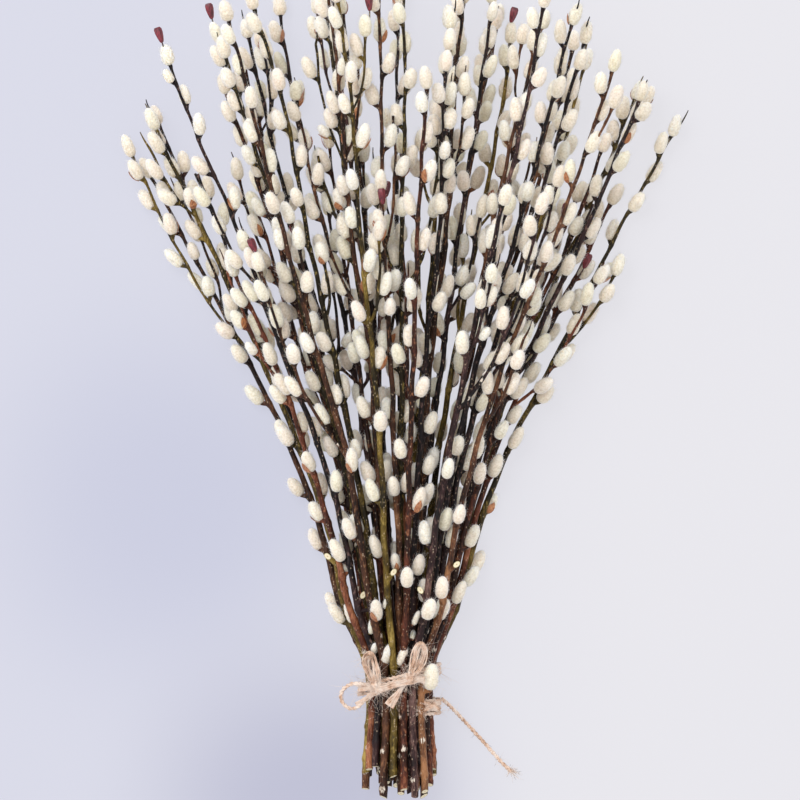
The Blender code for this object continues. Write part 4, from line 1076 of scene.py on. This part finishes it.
# Willow bark: a thin cork under a waxy skin, which gives soft highlights along the rod. Colour runs in
# streaks about 1 mm wide and 5 mm long, the skin flakes into small scales, and pale breathing pores are
# scattered over it.
def willow_bark(name, dark, mid, light):
    bark, tree = new_material(name)
    parts = marks_of(tree)
    where = add(tree, "TexCoord").outputs["Object"]
    streaks = pattern(tree, "TexNoise", where, STREAKS, {"Detail": 4.0, "Roughness": 0.7})["Fac"]
    patches = pattern(tree, "TexNoise", where, PATCHES, {"Detail": 1.0})["Fac"]
    mixed = add(tree, "Math", {"operation": "MULTIPLY_ADD", 1: 0.8}, {0: streaks, 2: patches}).outputs[0]
    mixed = add(tree, "Math", {"operation": "MULTIPLY_ADD", 1: 0.30}, {0: parts["X"], 2: mixed}).outputs[0]
    height = add(tree, "SeparateXYZ", links={0: where}).outputs["Y"]
    darker = add(tree, "MapRange", {1: DARKENS[0], 2: DARKENS[1], 4: DARKENS_BY}, {0: height}).outputs[0]
    mixed = add(tree, "Math", {"operation": "ADD"}, {0: mixed, 1: darker}).outputs[0]
    mixed = add(tree, "MapRange", {1: TONES[0], 2: TONES[1]}, {0: mixed}).outputs[0]
    colour = add(tree, "ValToRGB", links={0: mixed}, stops=((0.0, dark), (1.0, light), (0.5, mid))).outputs[0]
    flakes = pattern(tree, "TexNoise", where, FLAKES, {"Detail": 3.0, "Roughness": 0.6})["Fac"]
    flakes = add(tree, "MapRange", {1: FLAKE_EDGE[0], 2: FLAKE_EDGE[1], 4: FLAKES_SHOW},
                 {0: flakes}).outputs[0]
    colour = add(tree, "Mix", {"data_type": "RGBA", 7: linear(light)}, {0: flakes, 6: colour}).outputs[2]
    pores = pattern(tree, "TexVoronoi", where, PORES, {"Randomness": 1.0})
    kept = add(tree, "SeparateXYZ", links={0: pores["Color"]}).outputs["X"]
    kept = add(tree, "Math", {"operation": "GREATER_THAN", 1: PORES_LEFT_OUT}, {0: kept}).outputs[0]
    edge = {1: PORE_EDGE[0], 2: PORE_EDGE[1], 3: 1.0, 4: 0.0}
    pore = add(tree, "MapRange", edge, {0: pores["Distance"]}).outputs[0]
    pore = add(tree, "Math", {"operation": "MULTIPLY"}, {0: pore, 1: kept}).outputs[0]
    pore_share = add(tree, "Math", {"operation": "MULTIPLY", 1: 0.6}, {0: pore}).outputs[0]
    colour = add(tree, "Mix", {"data_type": "RGBA", 7: linear(LENTICEL)},
                 {0: pore_share, 6: colour}).outputs[2]
    scar = add(tree, "Math", {"operation": "MULTIPLY_ADD", 1: 2.4}, {0: streaks, 2: parts["Z"]}).outputs[0]
    scar = add(tree, "MapRange", {1: SCAR_EDGE[0], 2: SCAR_EDGE[1]}, {0: scar}).outputs[0]
    borne = add(tree, "MapRange", {1: SCAR_REACH[0], 2: SCAR_REACH[1]}, {0: parts["Z"]}).outputs[0]
    scar = add(tree, "Math", {"operation": "MULTIPLY"}, {0: scar, 1: borne}).outputs[0]
    colour = add(tree, "Mix", {"data_type": "RGBA", 7: linear(SCAR)}, {0: scar, 6: colour}).outputs[2]
    relief = add(tree, "Math", {"operation": "MULTIPLY_ADD", 1: 0.4}, {0: pore, 2: streaks}).outputs[0]
    bump = add(tree, "Bump", {"Strength": 0.8, "Distance": 0.0004}, {"Height": relief}).outputs[0]
    face = add(tree, "BsdfPrincipled", {"Roughness": 0.45, "Specular IOR Level": 0.2},
               {"Base Color": colour, "Normal": bump})
    add(tree, "OutputMaterial", links={0: face.outputs[0]})
    return bark


# Fresh-cut willow wood, cut with secateurs: dull and pale cream, with a darker pith at the middle and a
# green-brown rim under the bark.
cut_wood, tree = new_material("fresh_cut_willow_wood")
from_pith = marks_of(tree)["Z"]
where = add(tree, "TexCoord").outputs["Object"]
grain = add(tree, "TexNoise", {"Scale": 1500.0, "Detail": 2.0}, {"Vector": where}).outputs["Fac"]
mixed = add(tree, "Math", {"operation": "MULTIPLY_ADD", 1: 0.16}, {0: grain, 2: from_pith}).outputs[0]
mixed = add(tree, "MapRange", {1: 0.0, 2: 1.15}, {0: mixed}).outputs[0]
colour = add(tree, "ValToRGB", links={0: mixed},
             stops=((0.18, CUT_PITH), (0.92, CUT_EDGE), (0.28, CUT_WOOD), (0.80, CUT_WOOD))).outputs[0]
face = add(tree, "BsdfPrincipled", {"Roughness": 0.8, "Specular IOR Level": 0.3}, {"Base Color": colour})
add(tree, "OutputMaterial", links={0: face.outputs[0]})

# Bud scales: the dry, shiny caps that covered the buds in winter. They are thin horn-like skin, orange brown
# where the light passes through and maroon where it is thick.
scale_skins = []
for name, low, high in (("dry_bud_scale", "#7a3f22", "#c98b5c"), ("maroon_bud_scale", "#3d1119", "#86303a")):
    scale_skin, tree = new_material(name)
    where = add(tree, "TexCoord").outputs["Object"]
    veins = pattern(tree, "TexNoise", where, VEINS, {"Detail": 2.0})["Fac"]
    colour = add(tree, "ValToRGB", links={0: veins}, stops=((0.3, low), (0.7, high))).outputs[0]
    face = add(tree, "BsdfPrincipled", {"Roughness": 0.38, "Specular IOR Level": 0.5}, {"Base Color": colour})
    add(tree, "OutputMaterial", links={0: face.outputs[0]})
    scale_skins.append(scale_skin)

barks = [(name, willow_bark(name, *colours)) for name, *colours in BARKS]


def cut_face(piece, middle, rim, tone):
    """The flat of a cut: rings of pale wood from the bark to the pith."""
    sides, rings = len(rim), []
    for share in CUT_RINGS:
        rings.append(middle + (rim - middle) * share)
    verts = np.concatenate(rings + [middle[None]])
    marks = np.zeros((len(verts), 3))
    marks[:, 0] = tone
    marks[:, 2] = np.append(np.repeat(CUT_RINGS, sides), 0.0)
    side, after = np.arange(sides), (np.arange(sides) + 1) % sides
    faces = []
    for ring in range(len(CUT_RINGS) - 1):
        a, b = ring * sides, (ring + 1) * sides
        faces.append(np.stack((a + side, b + side, b + after, a + after), axis=1))
    last = (len(CUT_RINGS) - 1) * sides
    faces.append(np.stack((last + side, np.full(sides, len(verts) - 1), last + after), axis=1))
    piece.put(verts, faces, marks, 1)


def scars_on(limb, own, draw):
    """Levels and sides of the swellings on one run: below its catkins, and at old leaf scars further down."""
    swellings = [(c.level, c.sideways, 1.0) for c in own]
    at = draw.uniform(*FIRST_SCAR)
    lowest = min([c.level for c in own], default=limb.reach[-1])
    while at < lowest - SCARS_BELOW:
        swellings.append((at, way_at(draw.uniform(0.0, FULL_TURN)), OLD_SCAR_SIZE))
        at += draw.uniform(*SCAR_SPACING)
    return swellings


def grow_wood(piece, limb, own, tone, cut):
    """The wood of one run: rings along its smooth line, thicker at swellings and on the side that bears."""
    draw = draws(21, limb.owner)
    swellings = scars_on(limb, own, draw)
    levels = np.concatenate([np.arange(0.0, limb.reach[-1], RING_STEP)] + [
        level + np.array(SWELLING_RINGS) for level, _, _ in swellings])
    levels = np.sort(levels[(levels > 0.0) & (levels < limb.reach[-1] - LAST_RING)])
    levels = np.concatenate(((0.0,), levels[1:][np.diff(levels) > RINGS_APART], (limb.reach[-1],)))
    line = limb.grown(levels)
    _, right, up = ways_along(line)
    out = ways_round(right, up, WOOD_SIDES)
    radii = np.interp(levels, limb.reach, limb.radii)[:, None]
    radii = radii * (1.0 + draw.normal(0.0, BARK_RELIEF, (len(levels), WOOD_SIDES)))
    pale = np.zeros(radii.shape)
    for level, sideways, size in swellings:
        near = np.exp(-(((levels - level + SWELLING_BELOW) / SWELLING_LENGTH) ** 2))[:, None] * size
        bearing = np.clip(out @ sideways, 0.0, 1.0) ** 2
        radii = radii * (1.0 + SWELLING * near) + CUSHION * near * bearing
        if size < 1.0 and draw.random() < SCARS_PALE:
            pale = np.maximum(pale, near * bearing)
    verts = line[:, None] + radii[..., None] * out
    if cut:
        slant = draw.normal(0.0, 1.0, 3) * (1.0, 0.0, 1.0)
        slant = unit(slant if limb.owner % 3 == 0 else np.abs(slant) * (np.sign(slant[0]), 0.0, CUT_FACES_UP))
        slope = ((verts[0] - line[0]) @ slant) * CUT_SLANT * draw.uniform(*CUT_SLANT_VARIES)
        verts[0, :, 1] += slope + STEM_RADIUS[0] * CUT_LIFT
        cut_face(piece, verts[0].mean(axis=0), verts[0], tone)
    rings = len(levels)
    faces = [ring_quads(rings, WOOD_SIDES), (rings - 1) * WOOD_SIDES + np.arange(WOOD_SIDES)[None]]
    marks = np.stack((np.full(pale.size, tone), np.zeros(pale.size), pale.ravel()), axis=1)
    piece.put(verts.reshape(-1, 3), faces, marks)


def cup_under(piece, catkin, limb, tone):
    """The swollen foot of a catkin: a short cone of bark from the stem into the fur."""
    start = limb.grown(catkin.level - CUP_STARTS)[0]
    low = catkin.foot + catkin.axis * CUP_LOW
    high = catkin.foot + catkin.axis * CUP_SHARE * catkin.length
    thin = CUP_THIN[0] * limb.at(catkin.level)[2] + CUP_THIN[1]
    line = smoothed(np.array((start, 0.5 * (start + low) + catkin.axis * 0.0003, low, high)), 2)
    widths = (thin, CUP_BELLY[1] * catkin.radius, CUP_RADIUS * catkin.radius)
    radii = np.interp(np.linspace(0.0, 1.0, len(line)), (0.0, CUP_BELLY[0], 1.0), widths)
    piece.tube(line, radii, CUP_SIDES, (tone, 0.0, 0.0))


def bare_tip(piece, limb, tone, draw):
    """The thin pointed end of a twig, beside its highest catkin."""
    start, way = limb.grown(limb.reach[-1])[0], limb.at(limb.reach[-1])[1]
    aside = way_at(draw.uniform(0.0, FULL_TURN))
    length, share = draw.uniform(*BARE_TIP_LENGTH), np.linspace(0.0, 1.0, 6)[:, None]
    line = start + length * (way * share + BARE_TIP_LEAN * aside * share * (1.4 - share))
    radii = limb.radii[-1] + (BARE_TIP_END - limb.radii[-1]) * share[:, 0]
    piece.tube(line, radii, CUP_SIDES, (tone, 0.0, 0.0))
    return line


def ribbed_bud(piece, foot, way):
    """A closed bud in its maroon scales."""
    shares, widths = np.array(BUD_RINGS).T
    line = foot + way * (shares * BUD_LENGTH)[:, None]
    sides = 2 * BUD_RIBS
    ribs = np.where(np.arange(sides) % 2, BUD_GROOVES, 1.0)
    piece.tube(line, BUD_RADIUS * widths[:, None] * ribs, sides, (0.0, 0.0, 0.0), 3)


def bud_scale(piece, catkin, draw):
    """A dry bud scale that still clings to one side of a catkin's foot: a thin shell with a pointed top."""
    right, up = catkin.sides()
    middle, half = draw.uniform(0.0, FULL_TURN), draw.uniform(*SCALE_HALF_WIDTH)
    shares = np.linspace(SCALE_STARTS, draw.uniform(*SCALE_LENGTH), SCALE_ROWS)
    widths = half * (1.0 - np.linspace(0.0, 1.0, SCALE_ROWS) ** SCALE_POINT) + SCALE_NARROWEST
    body = np.interp(shares, *SCALE_FITS)
    verts = []
    for share, width, reach in zip(shares, widths, body):
        for layer, sides in ((SCALE_THICK, (-1.0, 0.0, 1.0)), (0.0, (1.0, 0.0, -1.0))):
            for side in sides:
                angle = middle + side * width
                out = math.cos(angle) * right + math.sin(angle) * up
                off = out * (reach * catkin.radius + layer)
                verts.append(catkin.foot + catkin.axis * share * catkin.length + off)
    round_it = np.arange(6)[None]
    faces = [ring_quads(SCALE_ROWS, 6), round_it[:, ::-1], 6 * (SCALE_ROWS - 1) + round_it]
    piece.put(verts, faces, (0.0, 0.0, 0.0), 2)


scale_draw = draws(24)
for number, runs in wood_runs.items():
    wood = Piece()
    draw = draws(22, number)
    tone = draw.uniform(0.0, 1.0)
    for place, (limb, _) in enumerate(runs):
        grow_wood(wood, limb, catkins[number][place], tone, place == 0)
        for catkin in catkins[number][place]:
            cup_under(wood, catkin, limb, tone)
            if scale_draw.integers(SCALE_EVERY) == 0:
                bud_scale(wood, catkin, scale_draw)
        if (number + place) % BARE_TIPS_EVERY == 0:
            tip_line = bare_tip(wood, limb, tone, draw)
            if (number + place) % BUD_EVERY == 0:
                ribbed_bud(wood, tip_line[4], unit(tip_line[5] - tip_line[4]))
    for root, tip in stubs[number]:
        widths = np.array(STUB_WIDTHS) * STUB_RADIUS
        wood.tube(np.linspace(root, tip, 4), widths, WOOD_SIDES, (tone, 0.0, 0.0), ends=(True, False))
        rim = wood.verts[-1][-WOOD_SIDES:]
        rim -= unit(tip - root) * ((rim - tip)[:, 2:] * STUB_SLANT)
        cut_face(wood, tip, rim[::-1], tone)
    bark_name, bark = barks[number % len(barks)]
    finishes = (bark, cut_wood, *scale_skins)
    wood.make("branch_%02d_wood" % (number + 1), finishes, bark_name, ("branch_%02d" % (number + 1),),
              EDGES_FROM)

# The catkins: flower buds of the willow, each a firm egg of tiny flowers under silky silver-white hairs that
# point to its tip. Some still carry the bud scale that covered them in winter.
BODY_RINGS = (
    (0.0, 0.40), (0.05, 0.66), (0.14, 0.87), (0.28, 0.99), (0.46, 1.01), (0.64, 0.94), (0.79, 0.79),
    (0.90, 0.57), (0.965, 0.33),
)
BODY_SIDES, BODY_LUMPS = 10, 0.03
HAIRS, HAIR_LENGTH, HAIR_WIDTH = 192, (0.34, 0.76), 0.024
HAIR_SLOPES, HAIR_STRAYS = ((0.0, 0.25, 0.6, 0.95), (1.15, 0.74, 0.66, 0.55)), 0.22
HIGHEST_HAIR, HAIR_SPOTS, HAIR_KEEL = 0.98, 200, 1.2
HAIR_ROOT_PAINTED_SHADE, HAIR_TIP_PAINTED_LIGHT, TONE_VARIES = 0.55, 1.0, (0.0, 0.15)
FUR_PATTERNS, BODY_SHARE, HAIR_FOOT = 9, 0.96, 0.90
FUR_BODY_LOW, FUR_BODY_HIGH = "#d2c8b2", "#f7f2e8"
FUR_LOW, FUR_HIGH = "#ece4d6", "#fffdf9"
FUR_TINTS = ((0.0, "#f8f6e8"), (1.0, "#f5eee7"), (0.25, "#fffffc"), (0.5, "#fff6f0"), (0.75, "#fffcf4"))


def fur_pattern(draw):
    """A catkin's hairs on an egg of radius 1 and length 1: three corners at each foot, and a tip."""
    shares, widths = np.array(BODY_RINGS).T
    spots = np.linspace(0.0, HIGHEST_HAIR, HAIR_SPOTS)
    weight = np.interp(spots, shares, widths)
    places = np.interp(draw.random(HAIRS), np.cumsum(weight) / weight.sum(), spots)
    angle = draw.uniform(0.0, FULL_TURN, HAIRS)
    width = np.interp(places, shares, widths)
    slope = np.interp(places, *HAIR_SLOPES) + draw.normal(0.0, HAIR_STRAYS, HAIRS)
    length = draw.uniform(*HAIR_LENGTH, HAIRS)
    out = np.stack((np.cos(angle), np.sin(angle)), axis=1)
    turn = np.stack((-np.sin(angle), np.cos(angle)), axis=1)
    aside = draw.normal(0.0, HAIR_STRAYS, HAIRS)
    return places, out, turn, width, slope, length, aside


patterns = [fur_pattern(draws(40, number)) for number in range(FUR_PATTERNS)]


def fur_on(piece, catkin, spin, pattern, tone, draw):
    """The hairs of one catkin, as thin three-sided spikes that lean towards its tip."""
    places, out, turn, width, slope, length, aside = pattern
    right, up = catkin.sides()
    right, up = math.cos(spin) * right + math.sin(spin) * up, math.cos(spin) * up - math.sin(spin) * right
    spread = np.stack((right, up))
    outward, around = out @ spread, turn @ spread
    foot = catkin.foot + catkin.axis * (places * catkin.length)[:, None]
    foot += outward * (width * HAIR_FOOT * catkin.radius)[:, None]
    way = catkin.axis * np.cos(slope)[:, None] + outward * np.sin(slope)[:, None] + around * aside[:, None]
    way /= np.linalg.norm(way, axis=1)[:, None]
    tips = foot + way * (length * catkin.radius)[:, None]
    thick = HAIR_WIDTH * catkin.radius
    flat = np.cross(way, outward)
    corners = [foot + flat * thick, foot - flat * thick, foot + np.cross(flat, way) * thick * HAIR_KEEL]
    verts = np.stack((*corners, tips), axis=1).reshape(-1, 3)
    first = 4 * np.arange(len(places))
    faces = [np.stack((first + a, first + b, first + 3), axis=1) for a, b in ((0, 1), (1, 2), (2, 0))]
    marks = np.zeros((len(places), 4, 3))
    marks[..., 0] = places[:, None]
    marks[..., 1] = tone
    # Painted shade and light along each hair: its root is mixed towards the body's colour, its tip is the
    # pale hair colour.
    tones = np.array((HAIR_ROOT_PAINTED_SHADE, HAIR_ROOT_PAINTED_SHADE, HAIR_ROOT_PAINTED_SHADE, HAIR_TIP_PAINTED_LIGHT))
    marks[..., 2] = tones - draw.uniform(*TONE_VARIES, len(places))[:, None]
    piece.put(verts, faces, marks.reshape(-1, 3))


def body_of_flowers(piece, catkin, tone, draw):
    """The firm egg inside the fur."""
    right, up = catkin.sides()
    out = ways_round(right, up, BODY_SIDES)
    shares, widths = np.array(BODY_RINGS).T
    lumps = 1.0 + draw.normal(0.0, BODY_LUMPS, (len(shares), BODY_SIDES))
    verts = (catkin.foot + catkin.axis * (shares * catkin.length)[:, None, None]
             + out[None] * (widths[:, None] * lumps * BODY_SHARE * catkin.radius)[..., None]).reshape(-1, 3)
    verts = np.concatenate((verts, (catkin.foot, catkin.foot + catkin.axis * catkin.length)))
    rings, sides = len(shares), BODY_SIDES
    low, high, last = rings * sides, rings * sides + 1, (rings - 1) * sides
    side, after = np.arange(sides), (np.arange(sides) + 1) % sides
    caps = [np.stack((after, side, np.full(sides, low)), axis=1),
            np.stack((last + side, last + after, np.full(sides, high)), axis=1)]
    marks = np.zeros((len(verts), 3))
    marks[:, 0] = np.append(np.repeat(shares, sides), (0.0, 1.0))
    marks[:, 1] = tone
    piece.put(verts, [ring_quads(rings, sides), *caps], marks)


# Willow fur: dense silky hairs, each about 0.02 mm thick and drawn ten times as thick here. Light passes
# through the outer hairs in the subsurface scattering, and the pale rim is partly painted as well: each hair
# is painted darker at its root and palest at its tip, as painted shade deep in the fur and painted light in
# the outer hairs. The greenish flowers under the hairs darken the middle, and body and hairs are both
# coloured darker towards the foot.
fur, tree = new_material("silky_willow_fur")
parts = marks_of(tree)
where = add(tree, "TexCoord").outputs["Object"]
mottle = add(tree, "TexNoise", {"Scale": 700.0, "Detail": 2.0}, {"Vector": where}).outputs["Fac"]
along = add(tree, "Math", {"operation": "MULTIPLY_ADD", 1: 0.35}, {0: parts["X"], 2: mottle}).outputs[0]
inner = add(tree, "ValToRGB", links={0: along},
            stops=((0.35, FUR_BODY_LOW), (0.85, FUR_BODY_HIGH))).outputs[0]
outer = add(tree, "ValToRGB", links={0: parts["X"]}, stops=((0.0, FUR_LOW), (0.55, FUR_HIGH))).outputs[0]
# Mixing by the third mark paints each hair darker at its root and palest at its tip: painted shade and
# painted light.
colour = add(tree, "Mix", {"data_type": "RGBA"}, {0: parts["Z"], 6: inner, 7: outer}).outputs[2]
warm = add(tree, "ValToRGB", links={0: parts["Y"]}, stops=FUR_TINTS).outputs[0]
colour = add(tree, "Mix", {"data_type": "RGBA", "blend_type": "MULTIPLY", 0: 1.0},
             {6: colour, 7: warm}).outputs[2]
face = add(tree, "BsdfPrincipled",
           {"Roughness": 0.85, "Specular IOR Level": 0.2, "Sheen Weight": 0.85, "Sheen Roughness": 0.45,
            "Subsurface Weight": 0.7, "Subsurface Scale": 0.006, "Subsurface Radius": (1.0, 0.9, 0.75)},
           {"Base Color": colour})
add(tree, "OutputMaterial", links={0: face.outputs[0]})

for number, own in catkins.items():
    furry, draw = Piece(), draws(41, number)
    those = [catkin for run in own for catkin in run]
    for catkin in those:
        tone = draw.random()
        body_of_flowers(furry, catkin, tone, draw)
        fur_on(furry, catkin, draw.uniform(*PHASES), patterns[draw.integers(FUR_PATTERNS)], tone, draw)
    furry.make("branch_%02d_catkins" % (number + 1), (fur,), "catkin_fur", ("branch_%02d" % (number + 1),))

[list(corner) for corner in (*cad_box, *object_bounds())]
